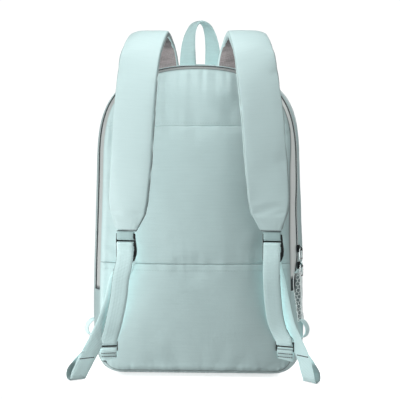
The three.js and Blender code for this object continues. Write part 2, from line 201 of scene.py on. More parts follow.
def wave(tree: Tree, chart: Socket, pitch_mm: float, axis: str) -> Socket:
    """Ridges of a real pitch across one axis of a chart in metres.

    Args:
        tree: Node tree.
        chart: Coordinates in metres.
        pitch_mm: Distance from ridge to ridge.
        axis: Axis that the ridges follow each other along, X or Y.

    Returns:
        Height from 0 to 1.
    """
    scale = math.pi / 10 / (pitch_mm * MM)
    settings = {"bands_direction": axis, "Scale": scale, "Distortion": 0.0}
    return add_node(tree, "TexWave", settings, {"Vector": chart}).outputs["Fac"]


def streaks(tree: Tree, chart: Socket, along_mm: float, across_mm: float, detail: float = 1.0) -> Socket:
    """Noise drawn out along the chart: features of two real sizes, as uneven yarns give.

    Args:
        tree: Node tree.
        chart: Coordinates in metres.
        along_mm: Size of a feature along X of the chart.
        across_mm: Size of a feature along Y of the chart.
        detail: Octaves of finer noise.

    Returns:
        Value from 0 to 1.
    """
    scale = (1 / (along_mm * MM), 1 / (across_mm * MM), 1 / (along_mm * MM))
    stretched = add_node(tree, "Mapping", {"Scale": scale}, {"Vector": chart})
    settings = {"Scale": 1.0, "Detail": detail}
    return add_node(tree, "TexNoise", settings, {"Vector": stretched.outputs[0]}).outputs[0]


def combine(tree: Tree, operation: str, one: Socket, two: Socket | float) -> Socket:
    """Joins a pattern with another, or with a plain number, by one sum."""
    number, links = ({1: two}, {0: one}) if isinstance(two, float) else ({}, {0: one, 1: two})
    return add_node(tree, "Math", {"operation": operation, **number}, links).outputs[0]


@dataclass(frozen=True)
class WovenNylon(Finish):
    """Dyed nylon in a fine plain weave: soft sheen, uneven yarns, faint broad mottling.

    The threads are about 0.4 mm apart on the real cloth; they are drawn three times as coarse to show.
    """

    thread_mm: float = 1.2
    slub_mm: float = 38.0

    def material(self) -> Material:
        """Builds the material on the cloth's own chart.

        Returns:
            The material.
        """
        material, tree, shader = self.start()
        chart = add_node(tree, "TexCoord").outputs["UV"]
        weft = wave(tree, chart, self.thread_mm, "Y")
        warp = wave(tree, chart, self.thread_mm, "X")
        weave = combine(tree, "MULTIPLY", weft, warp)
        yarns = streaks(tree, chart, self.slub_mm, self.thread_mm * 2)
        mottle = streaks(tree, chart, 90.0, 70.0, 2.0)
        share = combine(tree, "MULTIPLY", combine(tree, "ADD", yarns, mottle), 0.42)
        self.tint(tree, shader, share)
        height = combine(tree, "ADD", weave, combine(tree, "MULTIPLY", yarns, 1.4))
        self.emboss(tree, shader, height)
        return material


@dataclass(frozen=True)
class RibbedWebbing(Finish):
    """Flat woven nylon band: ribs across its length that catch the light, with firm selvedges.

    The ribs are about 1 mm apart on the real band; they are drawn at twice that to show.
    """

    rib_mm: float = 2.1

    def material(self) -> Material:
        """Builds the material on the band's own chart.

        Returns:
            The material.
        """
        material, tree, shader = self.start()
        chart = add_node(tree, "TexCoord").outputs["UV"]
        ribs = wave(tree, chart, self.rib_mm, "Y")
        cords = wave(tree, chart, self.rib_mm * 1.9, "X")
        yarns = streaks(tree, chart, 7.0, 1.5)
        share = combine(tree, "MULTIPLY", combine(tree, "ADD", ribs, yarns), 0.4)
        self.tint(tree, shader, share)
        height = combine(tree, "ADD", ribs, combine(tree, "MULTIPLY", cords, 0.35))
        self.emboss(tree, shader, height)
        return material


@dataclass(frozen=True)
class SpacerMesh(Finish):
    """Warp-knitted spacer mesh: small dimples in staggered rows, matt, with painted shade in its pits."""

    cell_mm: float = 2.4

    def material(self) -> Material:
        """Builds the material on the cloth's own chart.

        Returns:
            The material.
        """
        material, tree, shader = self.start()
        chart = add_node(tree, "TexCoord").outputs["UV"]
        settings = {"Scale": 1 / (self.cell_mm * MM), "Randomness": 0.25, "feature": "F1"}
        cells = add_node(tree, "TexVoronoi", settings, {"Vector": chart}).outputs["Distance"]
        mottle = streaks(tree, chart, 22.0, 22.0, 2.0)
        pits = combine(tree, "SUBTRACT", mottle, cells)
        self.tint(tree, shader, combine(tree, "ADD", pits, 0.25))
        self.emboss(tree, shader, cells)
        return material


@dataclass(frozen=True)
class Moulded(Finish):
    """Moulded, cast or plated piece: fine grain from the tool, slightly uneven gloss."""

    grain_mm: float = 0.35

    def material(self) -> Material:
        """Builds the material on the object's own coordinates.

        Returns:
            The material.
        """
        material, tree, shader = self.start()
        chart = add_node(tree, "TexCoord").outputs["Object"]
        grain = streaks(tree, chart, self.grain_mm, self.grain_mm, 2.0)
        patches = streaks(tree, chart, 6.0, 6.0, 2.0)
        self.tint(tree, shader, combine(tree, "MULTIPLY", patches, 0.7))
        low, high = self.roughness - 0.06, self.roughness + 0.08
        spread = {"From Min": 0.3, "From Max": 0.7, "To Min": low, "To Max": high}
        gloss = add_node(tree, "MapRange", spread, {"Value": patches})
        tree.links.new(gloss.outputs[0], shader.inputs["Roughness"])
        self.emboss(tree, shader, grain)
        return material


# Dyed nylon in a plain weave: matt, with a soft sheen and threads that just show
CLOTH = WovenNylon("nylon_plain_weave", "cloth", "#c3dbdb", "#b2cccc", 0.58, sheen=0.25, relief_mm=0.10)
# The same cloth over the strap padding and the pocket hem: smoother, and a little paler as painted light
STRAP_CLOTH = WovenNylon("nylon_strap_cover", "cloth", "#c9e1e1", "#bdd6d6", 0.58, sheen=0.25, relief_mm=0.07)
# Dyed nylon webbing: pale ribs that catch the light, the whole drawn paler as painted light; the left load
# strand gets painted shade
WEBBING = RibbedWebbing("nylon_webbing", "webbing", "#dcf8f8", "#cae9e9", 0.66, sheen=0.2, relief_mm=0.22)
# Webbing of the handle and the strap ends, darker, with duller ribs; on the recessed end loops the darker
# tone is painted shade
HANDLE = RibbedWebbing(
    "nylon_handle_webbing", "webbing", "#aecaca", "#9bb8b8", 0.66, sheen=0.2, relief_mm=0.2,
)
# Knitted polyester: warm grey and matt, with painted shade in its small pits
LINING = SpacerMesh("polyester_spacer_mesh", "lining", "#a8a2a2", "#7a7474", 0.85, sheen=0.15, relief_mm=0.35)
# Woven polyester tape, dull, with fine ribs: drawn near white as painted light, for its dimly lit right-hand
# stretch
ZIP_TAPE = RibbedWebbing(
    "polyester_zip_tape", "zip_tape", "#f2f7f5", "#e0e7e5", 0.78, relief_mm=0.12, rib_mm=1.6,
)
# Drawn nylon wire: dark, with a dull gloss on each loop
ZIP_COIL = Moulded("nylon_zip_coil", "zip_coil", "#434e50", "#333c3e", 0.42, relief_mm=0.02)
# Knitted polyester net: white and matt
NET = RibbedWebbing("knitted_net", "net", "#f1f8f7", "#d9e6e5", 0.8, relief_mm=0.05, rib_mm=0.9)
# Moulded acetal: black, with small soft highlights
PLASTIC = Moulded("acetal_moulded", "plastic", "#121819", "#1b2324", 0.22, relief_mm=0.01)
# Die-cast zinc under black lacquer: dark gloss
DARK_METAL = Moulded(
    "zinc_black_lacquer", "dark_metal", "#1f2426", "#2d3335", 0.32, metallic=0.85, relief_mm=0.01,
)
# Die-cast zinc under nickel: bright, with clear highlights
PALE_METAL = Moulded(
    "zinc_bright_nickel", "pale_metal", "#dfe3e3", "#c4caca", 0.28, metallic=1.0, relief_mm=0.01,
)
# Spun polyester thread in the cloth's tone: dull
THREAD = RibbedWebbing(
    "polyester_thread", "cloth", "#a9c2c2", "#93abab", 0.6, sheen=0.2, relief_mm=0.05, rib_mm=0.8,
)
# Spun polyester thread of the tacks: dark and dull
TACK_THREAD = RibbedWebbing(
    "polyester_tack_thread", "webbing", "#2f3b3c", "#222b2c", 0.6, relief_mm=0.05, rib_mm=0.8,
)


@lru_cache(maxsize=None)
def material_of(finish: Finish) -> Material:
    """Material of a finish, made once."""
    return finish.material()


# Making meshes


def pick(piece: Piece) -> None:
    """Makes a piece the only selected object.

    Args:
        piece: The piece.
    """
    bpy.ops.object.select_all(action="DESELECT")
    piece.select_set(True)
    bpy.context.view_layer.objects.active = piece


def edit(piece: Piece, *steps: Callable[[], object]) -> None:
    """Runs operators on all of a piece in edit mode.

    Args:
        piece: The piece, which becomes the only selected object.
        steps: Operators to call, in order.
    """
    pick(piece)
    bpy.ops.object.mode_set(mode="EDIT")
    bpy.ops.mesh.select_all(action="SELECT")
    for step in steps:
        step()
    bpy.ops.object.mode_set(mode="OBJECT")


def delete_faces(piece: Piece, chosen: Callable[[bpy.types.MeshPolygon], bool]) -> None:
    """Deletes the faces that a test picks.

    Args:
        piece: The piece.
        chosen: Gives True for a face to delete.
    """
    def select() -> None:
        """Selects the faces and deletes them."""
        bpy.ops.mesh.select_mode(type="FACE")
        bpy.ops.mesh.select_all(action="DESELECT")
        bpy.ops.object.mode_set(mode="OBJECT")
        for polygon in piece.data.polygons:
            polygon.select = chosen(polygon)
        bpy.ops.object.mode_set(mode="EDIT")
        bpy.ops.mesh.delete(type="FACE")
        bpy.ops.mesh.select_mode(type="VERT")

    edit(piece, select)


def merge_doubles() -> None:
    """Merges the points that share a place."""
    bpy.ops.mesh.remove_doubles(threshold=1e-6)


def face_out() -> None:
    """Turns the faces of a closed mesh out."""
    bpy.ops.mesh.normals_make_consistent(inside=False)


def close_ends() -> None:
    """Fills the open ends of a tube and turns its faces out."""
    bpy.ops.mesh.fill_holes(sides=0)
    face_out()


def apply_modifier(piece: Piece, kind: str, **settings: object) -> None:
    """Adds a modifier with its settings and applies it.

    Args:
        piece: The piece.
        kind: Blender's name of the modifier's type.
        settings: Its values by name.
    """
    pick(piece)
    modifier = piece.modifiers.new(kind.lower(), kind)
    for name, value in settings.items():
        setattr(modifier, name, value)
    bpy.ops.object.modifier_apply(modifier=modifier.name)


def subdivide(piece: Piece) -> None:
    """Rounds a piece by one level of subdivision."""
    apply_modifier(piece, "SUBSURF", levels=1, render_levels=1)


def thicken(piece: Piece, wall_mm: float) -> None:
    """Gives a sheet its wall on the side that its faces point away from."""
    apply_modifier(piece, "SOLIDIFY", thickness=wall_mm * MM, offset=-1.0, use_even_offset=False)


def soften(piece: Piece, angle: float = 50.0) -> None:
    """Shades a piece smooth, apart from edges sharper than an angle in degrees."""
    pick(piece)
    bpy.ops.object.shade_smooth_by_angle(angle=math.radians(angle))


def add_grid(across: int, along: int, size: float = 1.0) -> Piece:
    """Adds a flat grid primitive, centred on the origin.

    Args:
        across: Number of faces along X.
        along: Number of faces along Y.
        size: Length of its sides in metres.

    Returns:
        The new object.
    """
    bpy.ops.object.select_all(action="DESELECT")
    bpy.ops.mesh.primitive_grid_add(x_subdivisions=across, y_subdivisions=along, size=size)
    return bpy.context.object


def add_loop(radius: float, wire: float, segments: Sequence[int]) -> Piece:
    """Adds a torus primitive in mm that stands across X.

    Args:
        radius: Radius to the middle of the wire.
        wire: Radius of the wire.
        segments: Number of faces round the loop and round the wire.

    Returns:
        The new object.
    """
    bpy.ops.object.select_all(action="DESELECT")
    bpy.ops.mesh.primitive_torus_add(
        major_segments=segments[0], minor_segments=segments[1], major_radius=radius * MM,
        minor_radius=wire * MM, rotation=(0, math.pi / 2, 0),
    )
    bpy.ops.object.transform_apply(rotation=True)
    return bpy.context.object


def lay_grid(
    name: str, across: int, along: int, place: Place, chart: Chart,
    inside: Vector | None = None, wrap: bool = False,
) -> Piece:
    """Adds a grid primitive and lays its points over a form.

    Args:
        name: Name of the new piece.
        across: Number of faces across.
        along: Number of faces along.
        place: Point in mm for shares across and along, both from 0 to 1.
        chart: The cloth's own flat coordinates in mm for the same shares.
        inside: Point in mm that the faces of a sheet point away from.
        wrap: True where the last column meets the first, as round a strap.

    Returns:
        The new object, with its place in its mesh.
    """
    piece = add_grid(across, along)
    piece.name = piece.data.name = name
    mesh = piece.data
    shares = [(v.co.x + 0.5, v.co.y + 0.5) for v in mesh.vertices]
    for vertex, (u, v) in zip(mesh.vertices, shares):
        vertex.co = place(u, v) * MM
    charted = [Vector(chart(u, v)) * MM for u, v in shares]
    for loop, corner in zip(mesh.loops, mesh.uv_layers.active.data):
        corner.uv = charted[loop.vertex_index]
    if wrap:
        edit(piece, merge_doubles)
    if inside is not None:
        mesh.update()
        centre = inside * MM
        if sum((p.center - centre).dot(p.normal) * p.area for p in mesh.polygons) < 0:
            edit(piece, bpy.ops.mesh.flip_normals)
    return piece


def sculpt(piece: Piece, move: Move) -> None:
    """Moves each point of a piece and notes the share of shade painted on it, in its seam attribute.

    Args:
        piece: The piece to shape.
        move: Gives the new place in mm and the share of painted shade, from a point and its normal.
    """
    mesh = piece.data
    # The seam attribute holds painted shade, at seams and wherever a shape function puts it
    seam = mesh.attributes.get("seam") or mesh.attributes.new("seam", "FLOAT", "POINT")
    normals = [v.normal.copy() for v in mesh.vertices]
    for vertex, normal in zip(mesh.vertices, normals):
        moved, share = move(vertex.co / MM, normal)
        vertex.co = moved * MM
        seam.data[vertex.index].value = share
    mesh.update()


class Puff(NamedTuple):
    """How cloth settles over its padding: pressure, slack in the cut, frames and the longest move in mm."""

    pressure: float
    slack: float
    frames: int
    cap: float
    stiffness: float = 12.0
    bending: float = 4.0


def settle(piece: Piece, sewn: Iterable[int], puff: Puff) -> None:
    """Settles a cover over its padding by cloth simulation, held along its seams.

    Args:
        piece: The cover, whose points move.
        sewn: Numbers of the points that the seams hold.
        puff: Pressure and limits.
    """
    start = [v.co.copy() for v in piece.data.vertices]
    group = piece.vertex_groups.new(name="sewn")
    group.add(list(sewn), 1.0, "REPLACE")
    cloth = piece.modifiers.new("cover", "CLOTH")
    settings = cloth.settings
    settings.quality = 6
    settings.mass = 0.15
    settings.tension_stiffness = settings.compression_stiffness = puff.stiffness
    settings.shear_stiffness = puff.stiffness / 2
    settings.bending_stiffness = puff.bending
    settings.use_pressure = True
    settings.uniform_pressure_force = puff.pressure
    settings.shrink_min = -puff.slack
    settings.effector_weights.gravity = 0.0
    settings.vertex_group_mass = group.name
    cloth.collision_settings.use_collision = False
    cloth.point_cache.frame_start = 1
    cloth.point_cache.frame_end = puff.frames
    scene = bpy.context.scene
    for number in range(1, puff.frames + 1):
        scene.frame_set(number)
    pick(piece)
    bpy.ops.object.modifier_apply(modifier=cloth.name)
    scene.frame_set(1)
    longest = 0.0
    for vertex, was in zip(piece.data.vertices, start):
        step = vertex.co - was
        longest = max(longest, step.length)
        if step.length > puff.cap * MM:
            vertex.co = was + step.normalized() * puff.cap * MM
    piece.vertex_groups.clear()
    piece.data.update()
    log.info("%s settled, longest move %.1f mm", piece.name, longest / MM)


def border(piece: Piece) -> set[int]:
    """Finds the points on the open edges of a sheet.

    Args:
        piece: The sheet.

    Returns:
        Numbers of the points.
    """
    count: dict[tuple[int, int], int] = {}
    for polygon in piece.data.polygons:
        for key in polygon.edge_keys:
            count[key] = count.get(key, 0) + 1
    return {n for key, faces in count.items() if faces == 1 for n in key}


def seat(piece: Piece, finish: Finish, *nodes: str, body: Body = Body.PACK) -> Piece:
    """Dresses a piece, sets it on its body and lets it stand for nodes of the frame.

    Args:
        piece: The finished mesh.
        finish: Its material.
        nodes: Nodes that it stands for.
        body: Body that it rides on.

    Returns:
        The piece.
    """
    piece.data.materials.clear()
    piece.data.materials.append(material_of(finish))
    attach(piece, body.value)
    if nodes:
        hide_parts(*nodes)
    log.info("%s: %d faces", piece.name, len(piece.data.polygons))
    return piece


def scatter(name: str, pattern: Piece, stands: Sequence[Matrix]) -> Piece:
    """Joins one copy of a small pattern at each stand into one mesh, and removes the pattern.

    Args:
        name: Name of the new piece.
        pattern: Object whose mesh is repeated.
        stands: Places in metres.

    Returns:
        The joined piece.
    """
    points = [v.co.copy() for v in pattern.data.vertices]
    faces = [tuple(p.vertices) for p in pattern.data.polygons]
    mesh = bpy.data.meshes.new(name)
    every = [stand @ p for stand in stands for p in points]
    shifted = [tuple(n + k * len(points) for n in face) for k in range(len(stands)) for face in faces]
    mesh.from_pydata(every, [], shifted)
    mesh.shade_smooth()
    layer = mesh.uv_layers.new(name="UVMap")
    for loop, corner in zip(mesh.loops, layer.data):
        place = mesh.vertices[loop.vertex_index].co
        corner.uv = (place.x + place.y, place.z)
    piece = bpy.data.objects.new(name, mesh)
    bpy.context.collection.objects.link(piece)
    bpy.data.objects.remove(pattern)
    return piece


def stand_on(place: Vector, along: Vector, up: Vector) -> Matrix:
    """Frame in metres at a place in mm, its X along a direction and its Z near another.

    Args:
        place: Origin of the frame.
        along: Direction of X.
        up: Direction near Z.

    Returns:
        The frame.
    """
    x = along.normalized()
    y = up.cross(x).normalized()
    z = x.cross(y)
    return Matrix.Translation(place * MM) @ Matrix((x, y, z)).transposed().to_4x4()


# Routes of straps and webbing


class Station(NamedTuple):
    """Place on a route: point, directions across, along and to the wearer's face, sizes and run in mm."""

    point: Vector
    across: Vector
    along: Vector
    face: Vector
    width: float
    thick: float
    run: float


class Knot(NamedTuple):
    """A row of a route, in mm: point, plan angle of the width in degrees, width and thickness."""

    point: Vector
    aim: float
    width: float
    thick: float


def on_route(points: Sequence[Vector], share: float) -> tuple[Vector, Vector]:
    """Point and direction on a centripetal curve through points.

    Args:
        points: Points that the curve passes.
        share: Share of the spans between points, from 0 to 1.

    Returns:
        The point and the unit direction there.
    """
    spans = len(points) - 1
    i = min(int(share * spans), spans - 1)
    t = share * spans - i
    b, c = points[i], points[i + 1]
    a = points[i - 1] if i > 0 else b * 2 - c
    d = points[i + 2] if i + 2 <= spans else c * 2 - b
    ab, bc, cd = (max((q - p).length, 1e-6) ** 0.5 for p, q in ((a, b), (b, c), (c, d)))
    leave = ((b - a) / ab - (c - a) / (ab + bc) + (c - b) / bc) * bc
    arrive = ((c - b) / bc - (d - b) / (bc + cd) + (d - c) / cd) * bc
    square = (c - b) * 3 - leave * 2 - arrive
    cube = (b - c) * 2 + leave + arrive
    point = b + leave * t + square * t ** 2 + cube * t ** 3
    along = leave + square * 2 * t + cube * 3 * t ** 2
    return point, along.normalized()


def stations(knots: Sequence[Knot], per_span: int) -> list[Station]:
    """Even stations along a route.

    Args:
        knots: Rows of the route.
        per_span: Steps between two rows.

    Returns:
        The stations, from the first row to the last.
    """
    points = [k.point for k in knots]
    steps = per_span * (len(knots) - 1)
    made: list[Station] = []
    run = 0.0
    for n in range(steps + 1):
        i = min(n // per_span, len(knots) - 2)
        share = n / per_span - i
        here, there = knots[i], knots[i + 1]
        point, along = on_route(points, n / steps)
        aim = math.radians(mix(here.aim, there.aim, share))
        across = Vector((math.cos(aim), math.sin(aim), 0.0))
        across = (across - along * across.dot(along)).normalized()
        run += (point - made[-1].point).length if made else 0.0
        sizes = mix(here.width, there.width, share), mix(here.thick, there.thick, share)
        made.append(Station(point, across, along, across.cross(along), *sizes, run))
    return made


def nearest(route: Sequence[Station], point: Vector) -> Station:
    """Station of a route that lies nearest to a point in mm."""
    return min(route, key=lambda s: (s.point - point).length_squared)


# Half of a band's section, front and edge, as shares of its half width and half thickness
BAND_SECTION = ((-0.91, -1.0), (-0.5, -1.0), (0.0, -1.0), (0.5, -1.0), (0.91, -1.0), (1.0, -0.3))


BACK_BESIDE = 1.3


def tube(
    name: str, route: Sequence[Station], section: Sequence[Flat],
    chart: Callable[[Station, float, float], Flat],
) -> Piece:
    """Lays a skin round a route.

    Args:
        name: Name of the new piece.
        route: Stations of the route.
        section: Points round the skin, as shares of half the width and half the thickness.
        chart: The skin's flat coordinates in mm, from a station and a point of the section.

    Returns:
        The skin, open at both ends.
    """
    steps = len(route) - 1

    def spot(u: float, v: float) -> tuple[Station, float, float]:
        """Station and point of the section at shares round and along."""
        return (route[round(v * steps)], *section[round(u * len(section)) % len(section)])

    def place(u: float, v: float) -> Vector:
        """Point of the skin at shares round and along."""
        s, w, h = spot(u, v)
        return s.point + s.across * (w * s.width / 2) + s.face * (h * s.thick / 2)

    return lay_grid(name, len(section), steps, place, lambda u, v: chart(*spot(u, v)), wrap=True)


def ribbon(name: str, route: Sequence[Station]) -> Piece:
    """Woven band with rounded selvedges along a route.

    Args:
        name: Name of the new piece.
        route: Stations of the band.

    Returns:
        The closed band, smooth shaded.
    """
    section = [*BAND_SECTION, *[(-w, -h) for w, h in BAND_SECTION]]

    def chart(s: Station, w: float, h: float) -> Flat:
        """Flat coordinates, with the band's back laid out beside its front."""
        return w * s.width / 2 + (s.width * BACK_BESIDE if h > 0 else 0.0), s.run

    band = tube(name, route, section, chart)
    edit(band, close_ends)
    soften(band, 60)
    return band


class Row(NamedTuple):
    """Row of a route on one side of the harness, in mm and degrees.

    Distance out from the middle, depth, height, turn of the band towards the middle, sway to the right
    and width.
    """

    out: float
    y: float
    z: float
    turn: float = 0.0
    sway: float = 0.0
    width: float = 25.0


def side_knots(rows: Iterable[Row], side: Side, thick: float) -> list[Knot]:
    """Rows of one side as knots; both sides mirror each other, apart from the sway to the right."""
    hand = side.value
    return [Knot(Vector((hand * r.out + r.sway, r.y, r.z)), -hand * r.turn, r.width, thick) for r in rows]


# Form of the bag


class Section(NamedTuple):
    """How far the outline draws in at a depth, in mm, at its sides, top and base."""

    y: float
    side: float
    top: float
    base: float


class OutlinePoint(NamedTuple):
    """Point of the outline with its run in mm and its outward direction."""

    run: float
    x: float
    z: float
    out_x: float
    out_z: float


@dataclass(eq=False)
class PackForm:
    """Outer form of the bag, in mm: an outline that sections draw in along the depth."""

    half_outline: tuple[tuple[Flat, Flat, Flat, Flat], ...] = (
        ((0, 0), (37, 0), (75, 0), (112, 0)),
        ((112, 0), (142, 0), (156, 18), (158, 50)),
        ((158, 50), (161, 118), (153.5, 240), (152, 325)),
        ((152, 325), (150.5, 402), (130, 438), (62, 456.5)),
        ((62, 456.5), (42, 462), (20, 463.5), (0, 463.5)),
    )
    sections: tuple[Section, ...] = (
        Section(-74, 13, 6.5, 7), Section(-61, 4, 2, 1.5), Section(-50, 1, 1, 0), Section(-20, 0, 0, 0),
        Section(20, 0, 0, 0), Section(45, 3, 4, 0), Section(62, 9, 10, 2), Section(72, 18, 20, 8),
    )
    panel_middle: float = 230.0
    back_rim: float = -74.0
    front_rim: float = 72.0
    lane_front: float = -61.0
    zip_foot: float = 128.0
    pocket_depth: float = 3.8
    wall: float = 2.4
    outline: list[OutlinePoint] = field(init=False)

    def __post_init__(self) -> None:
        """Samples the outline, anticlockwise from the middle of the base."""
        right = [self.bezier(piece, k / 48) for piece in self.half_outline for k in range(48)]
        top = self.half_outline[-1][-1]
        points = [*right, top, *[(-x, z) for x, z in reversed(right[1:])]]
        self.outline = []
        run = 0.0
        for i, (x, z) in enumerate(points):
            (ax, az), (bx, bz) = points[i - 1], points[(i + 1) % len(points)]
            length = math.hypot(bx - ax, bz - az)
            run += math.hypot(x - ax, z - az) if i else 0.0
            self.outline.append(OutlinePoint(run, x, z, (bz - az) / length, (ax - bx) / length))
        self.length = run + math.hypot(points[0][0] - points[-1][0], points[0][1] - points[-1][1])
        self.runs = [p.run for p in self.outline]

    @staticmethod
    def bezier(piece: tuple[Flat, Flat, Flat, Flat], t: float) -> Flat:
        """Point on a cubic curve."""
        weights = ((1 - t) ** 3, 3 * t * (1 - t) ** 2, 3 * t * t * (1 - t), t ** 3)
        return sum(w * p[0] for w, p in zip(weights, piece)), sum(w * p[1] for w, p in zip(weights, piece))

    @staticmethod
    def tuck(x: float, z: float) -> float:
        """How far the panel's right edge is drawn in beside the parked sliders, which bares the tape."""
        drawn = mix(-1.5, 3.0, smooth(380, 290, z)) + 3.2 * smooth(290, 190, z)
        return drawn * smooth(60, 120, z) * smooth(440, 380, z) if x > 0 else 0.0

    @staticmethod
    def pocket(y: float, z: float) -> float:
        """Share by which a point of the right side lies behind the net pocket."""
        ahead = y - PackForm.pocket_edge(z)
        return smooth(1, 4, ahead) * smooth(48, 44, y) * smooth(78, 84, z) * smooth(172, 163, z)

    @staticmethod
    def pocket_edge(z: float) -> float:
        """Depth of the net's edge on the harness side, which slants towards the zip's end."""
        return mix(-61.0, -69.0, smooth(85, 140, z) * smooth(165, 150, z))

    @staticmethod
    def slack(x: float, z: float) -> float:
        """How far the coil is drawn in on the right, down to the sliders."""
        drawn = 2.2 * smooth(300, 240, z) + 5.0 * smooth(185, 138, z)
        return drawn * smooth(40, 100, z) if x > 0 else 0.0

    def hollow(self, x: float, y: float, z: float) -> float:
        """How far the right side is drawn in beside the coil and behind the net pocket."""
        behind = self.pocket(y, z) if x > 0 else 0.0
        return self.slack(x, z) * smooth(-44, -61, y) + self.pocket_depth * behind

    def at(self, share: float) -> tuple[float, float, float, float]:
        """Point and outward direction at a share of the way round, from the middle of the base.

        Args:
            share: Share of the way round.

        Returns:
            Place and outward direction, each in x and z.
        """
        run = (share % 1.0) * self.length
        i = bisect.bisect_right(self.runs, run) - 1
        a, b = self.outline[i], self.outline[(i + 1) % len(self.outline)]
        span = (b.run if b.run > a.run else self.length) - a.run
        t = (run - a.run) / span
        return tuple(mix(p, q, t) for p, q in zip(a[1:], b[1:]))

    def drawn(self, y: float) -> tuple[float, float, float]:
        """Side, top and base insets at a depth, eased between the sections.

        Args:
            y: Depth in mm.

        Returns:
            The three insets in mm.
        """
        i = 0
        while i < len(self.sections) - 2 and y > self.sections[i + 1].y:
            i += 1
        rows = [self.sections[min(max(k, 0), len(self.sections) - 1)] for k in range(i - 1, i + 3)]
        a, b, c, d = rows
        t = (y - b.y) / (c.y - b.y)
        insets = []
        for column in ("side", "top", "base"):
            p, q, r, s = (getattr(row, column) for row in rows)
            leave = (r - p) / max(c.y - a.y, 1e-6) * (c.y - b.y)
            arrive = (s - q) / max(d.y - b.y, 1e-6) * (c.y - b.y)
            square = 3 * (r - q) - 2 * leave - arrive
            cube = 2 * (q - r) + leave + arrive
            insets.append(max(q + leave * t + square * t * t + cube * t ** 3, 0.0))
        return tuple(insets)

    def skin(self, share: float, y: float, grow: float = 0.0) -> Vector:
        """Point of the outer skin at a share of the way round and a depth.

        Args:
            share: Share of the way round.
            y: Depth in mm.
            grow: Distance outside the skin, in mm.

        Returns:
            The point in mm.
        """
        x, z, out_x, out_z = self.at(share)
        side, top, base = self.drawn(y)
        inset = side * out_x ** 2 + (top if out_z > 0 else base) * out_z ** 2 - grow
        return Vector((x - out_x * inset, y, z - out_z * inset))

    @lru_cache(maxsize=None)
    def side_line(self, y: float) -> tuple[list[float], list[float]]:
        """Heights and half widths up the right side at a depth."""
        points = [self.skin(share / 800, y) for share in range(70, 330)]
        return [p.z for p in points], [p.x for p in points]

    def side_x(self, y: float, z: float) -> float:
        """Where the right side lies at a depth and height.

        Args:
            y: Depth in mm.
            z: Height in mm.

        Returns:
            Across, in mm.
        """
        heights, widths = self.side_line(round(y, 2))
        i = min(max(bisect.bisect_right(heights, z) - 1, 0), len(heights) - 2)
        share = (z - heights[i]) / (heights[i + 1] - heights[i])
        return mix(widths[i], widths[i + 1], share)

    @lru_cache(maxsize=None)
    def share_at(self, z: float, y: float) -> float:
        """Share of the way round where the right side reaches a height.

        Args:
            z: Height in mm.
            y: Depth in mm.

        Returns:
            The share.
        """
        low, high = 0.07, 0.45
        for _ in range(40):
            middle = (low + high) / 2
            if self.skin(middle, y).z < z:
                low = middle
            else:
                high = middle
        return low

    @lru_cache(maxsize=None)
    def corner(self, turn: float) -> float:
        """Share of the way round where the right side first leans by a turn in degrees above the horizon."""
        wanted = math.sin(math.radians(turn))
        return next(k / 2000 for k in range(1, 1000) if self.at(k / 2000)[3] > wanted)

    @lru_cache(maxsize=None)
    def rim_table(self, y: float) -> tuple[list[float], list[float]]:
        """Directions from the panel's middle and the rim's distance in each.

        Args:
            y: Depth of the rim in mm.

        Returns:
            Rising directions and their distances.
        """
        rim = [self.skin(k / 900, y) for k in range(900)]
        polar = sorted(
            (math.atan2(p.z - self.panel_middle, p.x), math.hypot(p.x, p.z - self.panel_middle)) for p in rim
        )
        first, last = polar[0], polar[-1]
        polar = [(last[0] - 2 * math.pi, last[1]), *polar, (first[0] + 2 * math.pi, first[1])]
        return [p[0] for p in polar], [p[1] for p in polar]

    def rim_reach(self, x: float, z: float, y: float) -> float:
        """Distance from the panel's middle to the rim, through a point of the panel.

        Args:
            x: Across, in mm.
            z: Height in mm.
            y: Depth of the rim in mm.

        Returns:
            The distance in mm.
        """
        turns, reaches = self.rim_table(y)
        turn = math.atan2(z - self.panel_middle, x)
        i = min(max(bisect.bisect_right(turns, turn) - 1, 0), len(turns) - 2)
        return mix(reaches[i], reaches[i + 1], (turn - turns[i]) / (turns[i + 1] - turns[i]))


FORM = PackForm()
INSIDE = Vector((0.0, 0.0, FORM.panel_middle))


# Cloth panels


class Edge(Enum):
    """What a panel's lower or upper edge follows: the rim of the bag, or a level seam."""

    RIM = "rim"
    SEAM = "seam"


class Seam(NamedTuple):
    """How cloth goes down into a seam: depth, width and lip in mm, and how much shade is painted in it."""

    depth: float
    width: float
    dark: float
    lip: float = 0.0

    def sink(self, away: float) -> float:
        """How far the cloth has gone down at a distance from the seam."""
        line = self.depth * math.exp(-(max(away, 0.0) / self.width) ** 1.4)
        return line - self.lip * math.exp(-((away - 2.2 * self.width) / self.width) ** 2)

    def shade(self, away: float) -> float:
        """Share of the shade painted in the seam's groove at a distance from it."""
        return self.dark * math.exp(-(max(away, 0.0) / (0.55 * self.width)) ** 2)


RIM_SEAM = Seam(2.8, 2.4, 1.0)
FAINT_SEAM = Seam(0.6, 0.9, 0.12, 0.45)
CRISP_SEAM = Seam(1.0, 0.9, 0.8, 0.25)
# Distance to a seam that a panel doesn't have
FAR = 1e3


